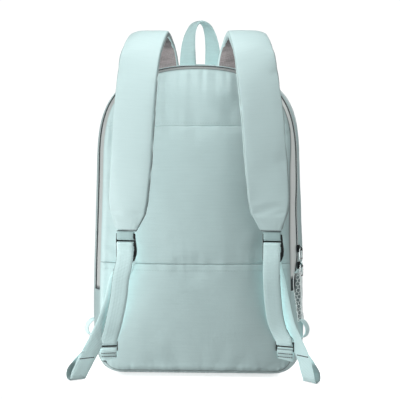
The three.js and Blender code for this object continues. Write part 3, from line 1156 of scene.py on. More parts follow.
@dataclass
class Panel:
    """Padded cloth panel on the harness side or the far side, in mm."""

    name: str
    low: float
    high: float
    low_edge: Edge
    high_edge: Edge
    rim: float = FORM.back_rim
    swell: float = -24.0
    fullness: float = 2.0
    wall: float = FORM.wall
    columns: int = 72
    rows: int = 44
    low_seam: Seam = RIM_SEAM
    high_seam: Seam = RIM_SEAM
    hem: float = 0.0
    puff: Puff = Puff(1.2, 0.004, 14, 4.0)

    @property
    def on_harness(self) -> bool:
        """True on the harness side, where panels swell towards the wearer."""
        return self.swell < 0

    def side(self, v: float, hand: int) -> Flat:
        """Point of the left or right edge at a share of the way up.

        Args:
            v: Share of the way up.
            hand: -1 for left, 1 for right.

        Returns:
            x and z in mm.
        """
        lowest = FORM.corner(-45) if self.low_edge is Edge.RIM else FORM.share_at(self.low, self.rim)
        highest = FORM.corner(45) if self.high_edge is Edge.RIM else FORM.share_at(self.high, self.rim)
        point = FORM.skin(hand * mix(lowest, highest, v), self.rim)
        drawn = FORM.tuck(point.x, point.z) if self.on_harness else 0.0
        return point.x - drawn, point.z

    def end(self, u: float, upper: bool) -> Flat:
        """Point of the lower or upper edge at a share of the way across.

        Args:
            u: Share of the way across.
            upper: True for the upper edge.

        Returns:
            x and z in mm.
        """
        kind = self.high_edge if upper else self.low_edge
        if kind is Edge.SEAM:
            left, right = self.side(float(upper), -1), self.side(float(upper), 1)
            return mix(left[0], right[0], u), self.high if upper else self.low
        corner = FORM.corner(45 if upper else -45)
        start, stop = (1 - corner, corner) if upper else (-corner, corner)
        point = FORM.skin(mix(start, stop, u), self.rim)
        return point.x, point.z

    def depth(self, x: float, z: float) -> float:
        """How far back a point of the smooth panel lies.

        Args:
            x: Across, in mm.
            z: Height in mm.

        Returns:
            y in mm.
        """
        share = math.hypot(x, z - FORM.panel_middle) / FORM.rim_reach(x, z, self.rim)
        swollen = self.swell * max(1 - share ** self.fullness, 0.0)
        return self.rim + swollen + math.copysign(GAP + self.wall, self.swell)

    def patch(self, u: float, v: float) -> Vector:
        """Point of the panel between its four edges.

        Args:
            u: Share across.
            v: Share along.

        Returns:
            The point in mm.
        """
        u, v = crowd(u, 0.72), crowd(v, 0.72)
        low, high, left, right = self.end(u, False), self.end(u, True), self.side(v, -1), self.side(v, 1)
        corners = self.side(0, -1), self.side(0, 1), self.side(1, -1), self.side(1, 1)
        flat = [
            mix(low[k], high[k], v) + mix(left[k], right[k], u)
            - mix(mix(corners[0][k], corners[1][k], u), mix(corners[2][k], corners[3][k], u), v)
            for k in (0, 1)
        ]
        return Vector((flat[0], self.depth(*flat), flat[1]))

    def seams(self, x: float, z: float) -> tuple[float, float, float]:
        """Measures the way to the rim, the lower seam and the upper seam.

        Args:
            x: Across, in mm.
            z: Height in mm.

        Returns:
            The three distances in mm.
        """
        reach = FORM.rim_reach(x, z, self.rim)
        rim = reach - math.hypot(x, z - FORM.panel_middle)
        if self.on_harness:
            rim -= FORM.tuck(x, z)
        low = z - self.low if self.low_edge is Edge.SEAM else FAR
        high = self.high - z if self.high_edge is Edge.SEAM else FAR
        return rim, low, high

    def gathers(self, x: float, z: float) -> float:
        """How far the cloth stands out in the folds that run away from its seams.

        Args:
            x: Across, in mm.
            z: Height in mm.

        Returns:
            Height of the folds in mm.
        """
        rim, low, high = (max(d, 0.0) for d in self.seams(x, z))
        top = smooth(300, 420, z) * (1.0 if self.on_harness else 0.3)
        puckers = (wander(x, 7.0, 0.0, 6.0) + 0.7 * wander(x, 23.0, 0.0, 11.0)) * math.exp(-rim / 19) * 4.4
        drape = wander(x + 0.3 * z, 31.0, z * 0.4, 24.0) * math.exp(-rim / 60) * 2.2
        base = smooth(60, 20, z) * math.exp(-rim / 8) * wander(x, 3.0, 0.0, 6.0) * 2.2
        seams = wander(x, 41.0, z * 0.1, 9.0) * (0.7 * math.exp(-high / 14) + 0.9 * math.exp(-low / 18))
        sides = math.exp(-rim / 10) * wander(11.0, 0.0, z, 9.0) * 0.5
        creased = smooth(-35, -75, x) * smooth(280, 310, z) * smooth(372, 350, z)
        ripple = wander(x * 0.12, 5.0, z, 4.5) * creased * 0.3
        return top * (puckers + drape) + base + seams + sides + ripple

    def shape(self, point: Vector, normal: Vector) -> Moved:
        """Rolls the edges into their seams, lays in the folds and paints shade in the seams and on the right.

        Args:
            point: Point in mm.
            normal: Its normal.

        Returns:
            New place in mm and share of painted shade.
        """
        x, y, z = point
        rim, low, high = self.seams(x, z)
        edges = ((RIM_SEAM, rim), (self.low_seam, low), (self.high_seam, high))
        near = max(min(rim, low, high), 0.0)
        outward = math.copysign(1.0, self.swell)
        sunk = max(seam.sink(away) for seam, away in edges)
        welt = 0.7 * math.exp(-((rim - 7) / 5) ** 2)
        turned = 0.45 * smooth(self.hem + 1.5, self.hem - 1.5, high) if self.hem else 0.0
        waves = 1.4 * wander(x, 0.0, z, 75.0) + 0.7 * wander(x, 50.0, z, 30.0)
        waves += 4.0 * math.exp(-((z - 428) / 24) ** 2) * smooth(110, 40, abs(x))
        waves += 3.5 * math.exp(-((x - 28) / 36) ** 2) * smooth(345, 385, z)
        calm = 1 - math.exp(-near / 18)
        lift = self.gathers(x, z) + waves * calm + welt + turned - sunk
        # Painted shade in the seams; the rim's is fainter except on the right, at the top and at the base
        faint = mix(0.25, 1.0, max(smooth(60, 110, x), smooth(410, 440, z), smooth(40, 20, z)))
        darkness = max(seam.shade(away) * (faint if seam is RIM_SEAM else 1.0) for seam, away in edges)
        # Painted shade: the harness panels darken towards the right, as if turned away from the light
        if self.on_harness:
            darkness = max(darkness, 0.13 * smooth(15, 95, x))
        return Vector((x, y + outward * lift, z)), darkness

    def build(self) -> Piece:
        """Builds, settles and dresses the panel.

        Returns:
            The finished panel.
        """
        name = self.name + "_cloth"
        piece = lay_grid(
            name, self.columns, self.rows, self.patch, lambda u, v: tuple(self.patch(u, v).xz), INSIDE,
        )
        settle(piece, border(piece), self.puff)
        subdivide(piece)
        sculpt(piece, self.shape)
        thicken(piece, self.wall)
        soften(piece)
        seat(piece, CLOTH, self.name)
        return piece


@dataclass
class Gusset:
    """Cloth wall round the bag, from the zip to the far panel, with the zip's lane cut out of it."""

    wall: float = FORM.wall
    columns: int = 300
    depths: tuple[float, ...] = (
        -74, -72.6, -70.5, -67.5, -64.5, -62.3, -61, -59.8, -57.5, -53, -46, -36, -25, -13, 0, 13, 25, 36, 46,
        54, 60, 65, 68.5, 70.8, 72,
    )

    def place(self, u: float, v: float) -> Vector:
        """Point of the smooth wall."""
        return FORM.skin(u, self.depths[round(v * (len(self.depths) - 1))])

    def chart(self, u: float, v: float) -> Flat:
        """The wall's own flat coordinates, round the bag and across it."""
        return u * FORM.length, self.depths[round(v * (len(self.depths) - 1))]

    @staticmethod
    def in_lane(face: bpy.types.MeshPolygon) -> bool:
        """True for a face of the zip's lane."""
        centre = face.center / MM
        return centre.y < FORM.lane_front and centre.z > FORM.zip_foot

    def shape(self, point: Vector, normal: Vector) -> Moved:
        """Rolls the edges in, lays slack waves and base folds over the wall, and paints shade on it.

        Args:
            point: Point in mm.
            normal: Its normal.

        Returns:
            New place in mm and share of painted shade.
        """
        x, y, z = point
        lane = z > FORM.zip_foot - 0.1
        back = (y - FORM.lane_front) if lane else (y - FORM.back_rim)
        front = FORM.front_rim - y
        near = max(min(abs(back), front), 0.0)
        rolled = RIM_SEAM.sink(near) * 0.6
        waves = 1.6 * wander(x, y, z, 70.0) + 0.5 * wander(x, y, z, 26.0)
        calm = (1 - math.exp(-near / 16)) * smooth(2.0, 25.0, z)
        low = smooth(40, 4, z)
        base_fold = low * math.exp(-abs(back) / 8) * wander(x, 3.0, 0.0, 5.5) * 0.9
        moved = point + normal * (waves * calm - rolled + base_fold)
        moved.x -= FORM.hollow(x, y, z)
        moved.z = max(moved.z, 0.0)
        # Painted shade: in the rolled edges, behind the net pocket and in a soft band on the left wall beside
        # the zip
        behind = FORM.pocket(y, z) if x > 0 else 0.0
        turned = 0.5 * smooth(-128, -146, x) * smooth(10, -35, y)
        return moved, max(RIM_SEAM.shade(near), 0.8 * behind * smooth(158, 154, z), turned)

    def build(self) -> None:
        """Builds and dresses the wall."""
        rows = len(self.depths) - 1
        piece = lay_grid("gusset_cloth", self.columns, rows, self.place, self.chart, INSIDE, wrap=True)
        delete_faces(piece, self.in_lane)
        subdivide(piece)
        sculpt(piece, self.shape)
        thicken(piece, self.wall)
        soften(piece)
        seat(piece, CLOTH, "gusset")


# Zip


@dataclass
class Zip:
    """Coil zip along the rim of the harness side, with two sliders parked on the right."""

    foot: float = FORM.zip_foot + GAP
    back: float = FORM.back_rim
    front: float = FORM.lane_front
    coil_back: float = -65.6
    coil_front: float = -63.1
    tape: float = 1.6
    # Heights over which the tape's ends below the sliders fade into painted shade, right and left
    end_right: Flat = (152.0, 146.0)
    end_left: Flat = (134.0, 131.0)
    sunk: float = 0.3
    pitch: float = 1.25
    coil_radius: float = 0.9
    coil_wire: float = 0.55
    heights: tuple[tuple[str, float], ...] = (("upper", 191.0), ("lower", 166.0))
    slider_width: float = 8.0
    slider_length: float = 11.0
    slider_height: float = 2.2
    bail_length: float = 7.0
    bail_height: float = 3.7
    bail_foot: float = 2.6
    bail_reach: float = 0.7
    bail_wire: float = 0.26
    bail_breadth: float = 3.2
    slider_shift: float = 2.0
    puller_width: float = 7.6
    puller_length: float = 16.8
    puller_bar: float = 1.5
    puller_thickness: float = 1.4

    def span(self) -> tuple[float, float]:
        """Shares of the way round where the zip starts on the right and ends on the left."""
        start = FORM.share_at(self.foot, (self.back + self.front) / 2)
        return start, 1 - start

    def build_tape(self, name: str, back: float, front: float) -> None:
        """Builds one tape between two depths.

        Args:
            name: Node that the tape stands for.
            back: Depth of its edge by the panel.
            front: Depth of its other edge.
        """
        start, stop = self.span()

        def place(u: float, v: float) -> Vector:
            """Point of the tape.

            Args:
                u: Share across.
                v: Share along.

            Returns:
                The point in mm.
            """
            point = FORM.skin(mix(start, stop, v), mix(back, front, u), -self.sunk)
            drawn = FORM.slack(point.x, point.z)
            if back == self.back:
                drawn = mix(FORM.tuck(point.x, point.z), drawn, u)
            point.x -= drawn
            return point

        def shade(point: Vector, normal: Vector) -> Moved:
            """Sinks the tape's sewn edge, and paints shade in its groove, over its ends below the sliders and
            on its left and top stretches.

            Args:
                point: Point in mm.
                normal: Its normal.

            Returns:
                New place in mm and share of painted shade.
            """
            # Painted shade: the groove by the panel, the dark ends below the sliders, and the left and top
            # stretches
            groove = math.exp(-((point.y - self.back) / 1.3) ** 2) * (1.0 if point.x > 0 else 0.4)
            end = ALL_DARK * smooth(*(self.end_right if point.x > 0 else self.end_left), point.z)
            shaded = max(0.62 * smooth(60, -20, point.x), 0.75 * smooth(425, 445, point.z))
            return point - normal * groove, max(groove, end, shaded)

        piece = lay_grid(
            name + "_woven", 6, 260, place,
            lambda u, v: (mix(back, front, u), mix(start, stop, v) * FORM.length), INSIDE,
        )
        sculpt(piece, shade)
        thicken(piece, self.tape)
        soften(piece)
        seat(piece, ZIP_TAPE, name)

    def build_coil(self) -> None:
        """Builds the coil as one small loop after another."""
        loop = add_loop(self.coil_radius, self.coil_wire, (8, 4))
        start, stop = self.span()
        middle = (self.coil_back + self.coil_front) / 2
        count = int((stop - start) * FORM.length / self.pitch)
        stands = []
        for k in range(count):
            share = mix(start, stop, (k + 0.5) / count)
            here = FORM.skin(share, middle, -GAP)
            along = FORM.skin(share + 0.002, middle, -GAP) - here
            out = FORM.skin(share, middle, 3.0) - here
            here.x -= FORM.slack(here.x, here.z)
            stands.append(stand_on(here, along, out))
        seat(scatter("zip_coil_loops", loop, stands), ZIP_COIL, "zip_coil")

    def lane(self, z: float, lift: float) -> Matrix:
        """Frame on the coil at a height: X across the lane, Z out of it and Y up.

        Args:
            z: Height in mm.
            lift: Distance out of the lane, in mm.

        Returns:
            The frame in metres.
        """
        middle = (self.coil_back + self.coil_front) / 2
        rim, next_in = FORM.sections[:2]
        slope = math.atan2(rim.side - next_in.side, next_in.y - rim.y)
        across = Vector((math.sin(slope), math.cos(slope), 0.0))
        out = Vector((math.cos(slope), -math.sin(slope), 0.0))
        foot = Vector((FORM.side_x(middle, z) + (1.0 + GAP) / math.cos(slope), middle, z)) + out * lift
        foot -= across * self.slider_shift
        return Matrix.Translation(foot * MM) @ Matrix((across, Vector((0, 0, 1)), out)).transposed().to_4x4()

    def build_slider(self, place: str, z: float) -> None:
        """Builds a slider: a waisted body with a bail over it.

        Args:
            place: Word for its place.
            z: Its height in mm.
        """
        body = add_grid(4, 6)
        flat = self.slider_height - 0.5
        for vertex in body.data.vertices:
            x, y, _ = vertex.co
            waist = 1 - 0.22 * smooth(0.05, 0.5, -y) - 0.1 * smooth(0.3, 0.5, y)
            dome = 0.5 * (1 - (2 * x) ** 2) * (1 - (2 * y) ** 4)
            wide, long = x * self.slider_width * waist, y * self.slider_length
            vertex.co = Vector((wide, long, flat + dome)) * MM
        thicken(body, flat)
        apply_modifier(body, "BEVEL", width=0.35 * MM, segments=2)
        bail = add_loop(1.0, self.bail_wire, (20, 8))
        outer = 1.0 + self.bail_wire
        tall = self.bail_height - 0.6 + 2 * self.bail_reach
        rise = self.slider_height + self.bail_foot - self.bail_reach
        for vertex in bail.data.vertices:
            vertex.co.x *= self.bail_breadth
            vertex.co.y *= self.bail_length / 2 / outer
            vertex.co.z = vertex.co.z * tall / outer + rise * MM
        pick(body)
        bail.select_set(True)
        bpy.ops.object.join()
        body.name = body.data.name = f"zip_slider_{place}_cast"
        body.data.transform(self.lane(z, -self.bail_foot))
        soften(body, 40)
        seat(body, DARK_METAL, f"zip_slider_{place}")

    def build_puller(self, place: str, z: float, body: Body) -> None:
        """Builds a ring puller that hangs from the bail.

        Args:
            place: Word for its slider's place.
            z: Height of the hinge in mm.
            body: Body that it rides on.
        """
        half = self.puller_width / 2
        top = self.puller_bar / 2
        foot = top - self.puller_length
        columns = (-half, -half + self.puller_bar, half - self.puller_bar, half)
        rows = (foot, foot + self.puller_bar * 1.6, -top, top)
        piece = plate_with_windows(
            f"zip_puller_{place}_ring", columns, rows, [(1, 1)], self.puller_thickness, 0.45
        )
        lift = self.slider_height + (self.bail_height - 0.8) / 2
        piece.data.transform(self.lane(z, lift))
        soften(piece, 40)
        seat(piece, PALE_METAL, f"zip_puller_{place}", body=body)

    def build(self) -> None:
        """Builds both tapes, the coil, the sliders and the pullers."""
        self.build_tape("zip_tape_back", self.back, self.coil_back - GAP)
        self.build_tape("zip_tape_front", self.coil_front + GAP, self.front - GAP)
        self.build_coil()
        for (place, z), body in zip(self.heights, (Body.PULLER_UPPER, Body.PULLER_LOWER)):
            self.build_slider(place, z)
            self.build_puller(place, z, body)


def plate_with_windows(
    name: str, columns: Sequence[float], rows: Sequence[float], windows: Sequence[tuple[int, int]],
    thickness: float, bevel: float, trim: Callable[[float, float], Flat] | None = None,
) -> Piece:
    """Moulded plate with square windows, lying in X and Y and centred on Z, in mm.

    Args:
        name: Name of the new piece.
        columns: Lines of the plate along X.
        rows: Lines of the plate along Y.
        windows: Column and row of each window.
        thickness: Thickness of the plate.
        bevel: Width of its rounded edges.
        trim: Moves a point of the flat plate, where its outline isn't square.

    Returns:
        The plate, not yet placed.
    """
    across, along = len(columns) - 1, len(rows) - 1
    piece = add_grid(across, along)
    piece.name = piece.data.name = name
    for vertex in piece.data.vertices:
        column, row = round((vertex.co.x + 0.5) * across), round((vertex.co.y + 0.5) * along)
        x, y = trim(columns[column], rows[row]) if trim else (columns[column], rows[row])
        vertex.co = Vector((x, y, thickness / 2)) * MM
    holes = {row * across + column for column, row in windows}
    delete_faces(piece, lambda face: face.index in holes)
    thicken(piece, thickness)
    apply_modifier(piece, "BEVEL", width=bevel * MM, segments=3, limit_method="ANGLE")
    return piece


def stand_plate(piece: Piece, foot: Vector, turn: float) -> None:
    """Stands a plate up to face the wearer and sets it in its place.

    Args:
        piece: Plate that lies in X and Y.
        foot: Place of its origin, in mm.
        turn: Turn in plan, in degrees.
    """
    for vertex in piece.data.vertices:
        x, z, out = vertex.co
        vertex.co = Vector((x, -out, z))
    edit(piece, face_out)
    piece.data.transform(Matrix.Translation(foot * MM) @ Matrix.Rotation(math.radians(turn), 4, "Z"))
    soften(piece, 40)


# Net pocket

# Corners of a net cell, as shares of its width and height
CELL_CORNERS = ((0, -0.67), (0.5, -0.33), (0.5, 0.33), (0, 0.67), (-0.5, 0.33), (-0.5, -0.33))


@dataclass
class SidePocket:
    """Flat net pocket with an elastic hem on the right side."""

    back: float = FORM.lane_front
    front: float = 46.0
    foot: float = 80.0
    lip: float = 153.5
    hem_top: float = 161.0
    swell: float = 1.2
    cell: float = 6.5
    strand: float = 1.0
    hem_wall: float = 2.6

    def on_side(self, y: float, z: float, lift: float) -> Vector:
        """Point over the side wall; the pocket stands off most at the middle of its lip.

        Args:
            y: Depth in mm.
            z: Height in mm.
            lift: Distance off the pocket.

        Returns:
            The point in mm.
        """
        across = max(math.sin(math.pi * (y - self.back) / (self.front - self.back)), 0.0)
        rise = max((z - self.foot) / (self.hem_top - self.foot), 0.0)
        off = GAP * 2 + self.swell * math.sqrt(across) * rise ** 0.4
        wall = FORM.side_x(y, z)
        return Vector((wall - FORM.hollow(wall, y, z) + off + lift, y, z))

    def build_net(self) -> None:
        """Builds the net as strands round staggered cells."""
        columns = round((self.front - self.back) / self.cell)
        rows = round((self.lip - self.foot) / (self.cell * 0.75))
        points: dict[tuple[float, float], int] = {}
        places: list[Vector] = []
        faces: list[list[int]] = []

        def corner(y: float, z: float) -> int:
            """Finds a corner of a cell, or adds it.

            Args:
                y: Depth in mm.
                z: Height in mm.

            Returns:
                Number of the point.
            """
            key = (round(y, 2), round(z, 2))
            if key not in points:
                points[key] = len(places)
                slack = 0.5 * wander(0.0, y, z, 14.0)
                inside_z = min(max(z, self.foot), self.lip)
                share = min(max((y - self.back) / (self.front - self.back), 0.0), 1.0)
                inside_y = mix(FORM.pocket_edge(inside_z), self.front, share)
                places.append(self.on_side(inside_y, inside_z, 0.7 + slack) * MM)
            return points[key]

        wide = (self.front - self.back) / columns
        tall = (self.lip - self.foot) / rows
        for row in range(rows):
            for column in range(columns + row % 2):
                y = self.back + (column + 0.5 - 0.5 * (row % 2)) * wide
                z = self.foot + (row + 0.5) * tall
                faces.append([corner(y + a * wide, z + b * tall) for a, b in CELL_CORNERS])
        mesh = bpy.data.meshes.new("side_pocket_net")
        whole = [f for f in faces if len(set(f)) == 6]
        mesh.from_pydata(places, [], whole)
        piece = bpy.data.objects.new("side_pocket_net", mesh)
        bpy.context.collection.objects.link(piece)
        layer = mesh.uv_layers.new(name="UVMap")
        for loop, spot in zip(mesh.loops, layer.data):
            place = mesh.vertices[loop.vertex_index].co
            spot.uv = (place.y, place.z)
        edit(piece, merge_doubles)
        strand = self.strand * MM
        apply_modifier(piece, "WIREFRAME", thickness=strand, use_boundary=True, use_even_offset=False)
        soften(piece, 70)
        seat(piece, NET, "side_pocket")

    def build_hem(self) -> None:
        """Builds the elastic hem."""
        low = self.lip + GAP

        def place(u: float, v: float) -> Vector:
            """Point of the hem.

            Args:
                u: Share across.
                v: Share along.

            Returns:
                The point in mm.
            """
            z = mix(low, self.hem_top, v)
            y = mix(FORM.pocket_edge(z), self.front, u)
            full = math.sin(math.pi * v) * 0.5 + 0.25 * wander(0.0, y, z, 5.0)
            return self.on_side(y, z, self.hem_wall - 0.7 + full)

        piece = lay_grid(
            "side_pocket_hem_cloth", 60, 6, place,
            lambda u, v: (mix(self.back, self.front, u), mix(low, self.hem_top, v)), INSIDE,
        )
        thicken(piece, self.hem_wall - 0.6)
        soften(piece)
        seat(piece, STRAP_CLOTH, "side_pocket_hem")

    def build(self) -> None:
        """Builds the net and its hem."""
        self.build_net()
        self.build_hem()


# Harness


# How far the harness hangs to the right, in mm, and the turn of its strap ends in plan, in degrees
SWAY = 4.5
TURN = -10.0


class StrapRow(NamedTuple):
    """Row of a shoulder strap, in mm: distance out, depth, height, width, thickness and share of the sway."""

    out: float
    y: float
    z: float
    width: float
    thick: float
    sway: float


@dataclass
class ShoulderStrap:
    """Padded shoulder strap from the top of the bag down to its adjuster, with its lining; its end loop comes
    with the adjuster.
    """

    side: Side
    sway: float = SWAY
    turn: float = TURN
    splay: float = 10.0
    start: float = 10.0
    foot: float = 222.2
    rows: tuple[StrapRow, ...] = (
        StrapRow(55.5, -44, 446, 57, 9, 0), StrapRow(57, -45, 462, 57, 10, 0),
        StrapRow(63, -51, 488, 57, 11, 0.2), StrapRow(71, -76, 507, 57, 11, 0.4),
        StrapRow(80.5, -102, 486, 59, 11, 0.5), StrapRow(86.5, -111, 446, 61, 12, 0.6),
        StrapRow(92, -116, 396, 63, 12, 0.8), StrapRow(97.2, -120, 322, 63, 12, 1),
        StrapRow(101.8, -119.5, 267, 60, 12, 1), StrapRow(103, -117.4, 249, 54, 11.5, 1),
        StrapRow(104.6, -115, 235, 42, 11, 1), StrapRow(106.6, -112.3, 219, 27.5, 9, 1),
    )
    lining: float = 1.2
    lining_half: float = 0.46
    puff: Puff = Puff(1.6, 0.003, 12, 1.6)

    def route(self) -> list[Station]:
        """Stations of the strap between the top of the bag and its end seam.

        Returns:
            The stations.
        """
        knots = []
        for r in self.rows:
            splayed = mix(self.turn, self.side.value * self.splay, smooth(225, 350, r.z))
            aim = splayed * smooth(500, 440, r.z)
            point = Vector((self.side.value * r.out + self.sway * r.sway, r.y, r.z))
            knots.append(Knot(point, aim, r.width, r.thick))
        made = stations(knots, 10)
        return [s for s in made if s.run > self.start and s.point.z > self.foot]

    @staticmethod
    def section() -> list[Flat]:
        """Section of the padding, as shares of half sizes: crowned front, round edges, flatter back.

        Returns:
            Points round the section.
        """
        half = [(-0.92 + 1.84 * k / 10, -0.9 - 0.1 * (1 - (-1 + k / 5) ** 2)) for k in range(11)]
        edge = [(0.965, -0.8), (0.995, -0.5), (1.0, 0.0), (0.995, 0.5), (0.965, 0.82)]
        back = [(-w, 0.94) for w, _ in half]
        return [*half, *edge, *back, *[(-w, h) for w, h in reversed(edge)]]

    def shape(self, route: Sequence[Station]) -> Move:
        """Gives the folds of one strap: slack across the arch and gathers into the end seam.

        Args:
            route: Stations of the strap.

        Returns:
            The function that moves a point of the cover.
        """
        middle = sum((s.point for s in route), Vector()) / len(route)

        def move(point: Vector, normal: Vector) -> Moved:
            """Folds the cover and paints shade in its piping, along its hem and on its right side wall.

            Args:
                point: Point in mm.
                normal: Its normal.

            Returns:
                New place in mm and share of painted shade.
            """
            x, y, z = point
            near = nearest(route, point)
            right = (point - near.point).dot(near.across) / (near.width / 2)
            across = abs(right)
            ahead = -(point - near.point).dot(near.face) / (near.thick / 2)
            piping = math.exp(-((across - 0.97) / 0.02) ** 2) * math.exp(-((ahead - 0.72) / 0.3) ** 2)
            fan = math.atan2(x - near.point.x, z - 190.0) * 60.0
            gather = smooth(268, 222, z) * wander(fan, y * 0.4, z * 0.25, 4.0) * (0.25 + across ** 3) * 1.1
            arch = smooth(455, 490, z) * wander(x * 0.4, y, z, 10.0) * 0.5
            waves = 0.5 * wander(x, middle.y, z, 45.0)
            outer = max(right * self.side.value, 0.0)
            droop = smooth(465, 500, z) * (7.0 * outer ** 3 + 2.0 * (across - outer) ** 3)
            # Painted shade: a dark line at the end seam, in the piping groove and on the right side wall
            hem = math.exp(-((z - self.foot) / 1.2) ** 2)
            side = smooth(0.95, 0.99, right) * smooth(0.75, 0.3, ahead)
            moved = point + normal * (gather + arch + waves - 0.5 * piping) - Vector((0, 0, droop))
            return moved, max(hem, 0.5 * piping, side)

        return move

    def build_padding(self, route: Sequence[Station]) -> None:
        """Builds the padded cover.

        Args:
            route: Stations of the strap.
        """
        def chart(s: Station, w: float, h: float) -> Flat:
            """Flat coordinates, with the round edges rolled out."""
            return w * s.width / 2 + (h * s.thick if abs(w) > 0.9 else 0.0), s.run

        piece = tube(f"shoulder_strap_{self.side.word}_padding", route, self.section(), chart)
        seams = {i for i, v in enumerate(piece.data.vertices) if self.on_seam(v.co / MM, route)}
        edit(piece, face_out)
        settle(piece, seams | border(piece), self.puff)
        edit(piece, close_ends)
        subdivide(piece)
        sculpt(piece, self.shape(route))
        soften(piece)
        seat(piece, STRAP_CLOTH, f"shoulder_strap_{self.side.word}")

    @staticmethod
    def on_seam(point: Vector, route: Sequence[Station]) -> bool:
        """True where a point of the cover lies on the back, where the seams and the lining hold it."""
        near = nearest(route, point)
        return (point - near.point).dot(near.face) > near.thick * 0.3

    @staticmethod
    def shade_lining(point: Vector, normal: Vector) -> Moved:
        """Paints shade in the lining's wrinkles and under the arch of the strap."""
        folds = 0.55 * max(wander(point.x * 0.4, 9.0, point.z * 1.6, 6.0), 0.0)
        return point, min(folds + 0.5 * smooth(482, 498, point.z), 1.0)

    def build_lining(self, route: Sequence[Station]) -> None:
        """Builds the lining on the wearer's side.

        Args:
            route: Stations of the strap.
        """
        kept = route[:-3]
        steps = len(kept) - 1

        def place(u: float, v: float) -> Vector:
            """Point of the lining.

            Args:
                u: Share across.
                v: Share along.

            Returns:
                The point in mm.
            """
            s = kept[round(v * steps)]
            w = mix(-1, 1, u)
            lift = s.thick / 2 + GAP + self.lining - 1.3 * abs(w) ** 6
            wrinkle = 2.2 * wander(w * 9, 0.0, s.run, 7.0) * (1 - w ** 4)
            return s.point + s.across * (w * s.width * self.lining_half) + s.face * (lift + wrinkle)

        def chart(u: float, v: float) -> Flat:
            """Flat coordinates of the lining."""
            s = kept[round(v * steps)]
            return mix(-1, 1, u) * s.width * self.lining_half, s.run

        piece = lay_grid(f"strap_lining_{self.side.word}_mesh", 18, steps, place, chart)
        piece.data.update()
        sample = list(piece.data.polygons)[::7]
        facing = sum(p.normal.dot(nearest(kept, p.center / MM).face) * p.area for p in sample)
        if facing < 0:
            edit(piece, bpy.ops.mesh.flip_normals)
        sculpt(piece, self.shade_lining)
        thicken(piece, self.lining)
        soften(piece)
        seat(piece, LINING, f"strap_lining_{self.side.word}")

    def build(self) -> None:
        """Builds the padding and the lining."""
        route = self.route()
        self.build_padding(route)
        self.build_lining(route)


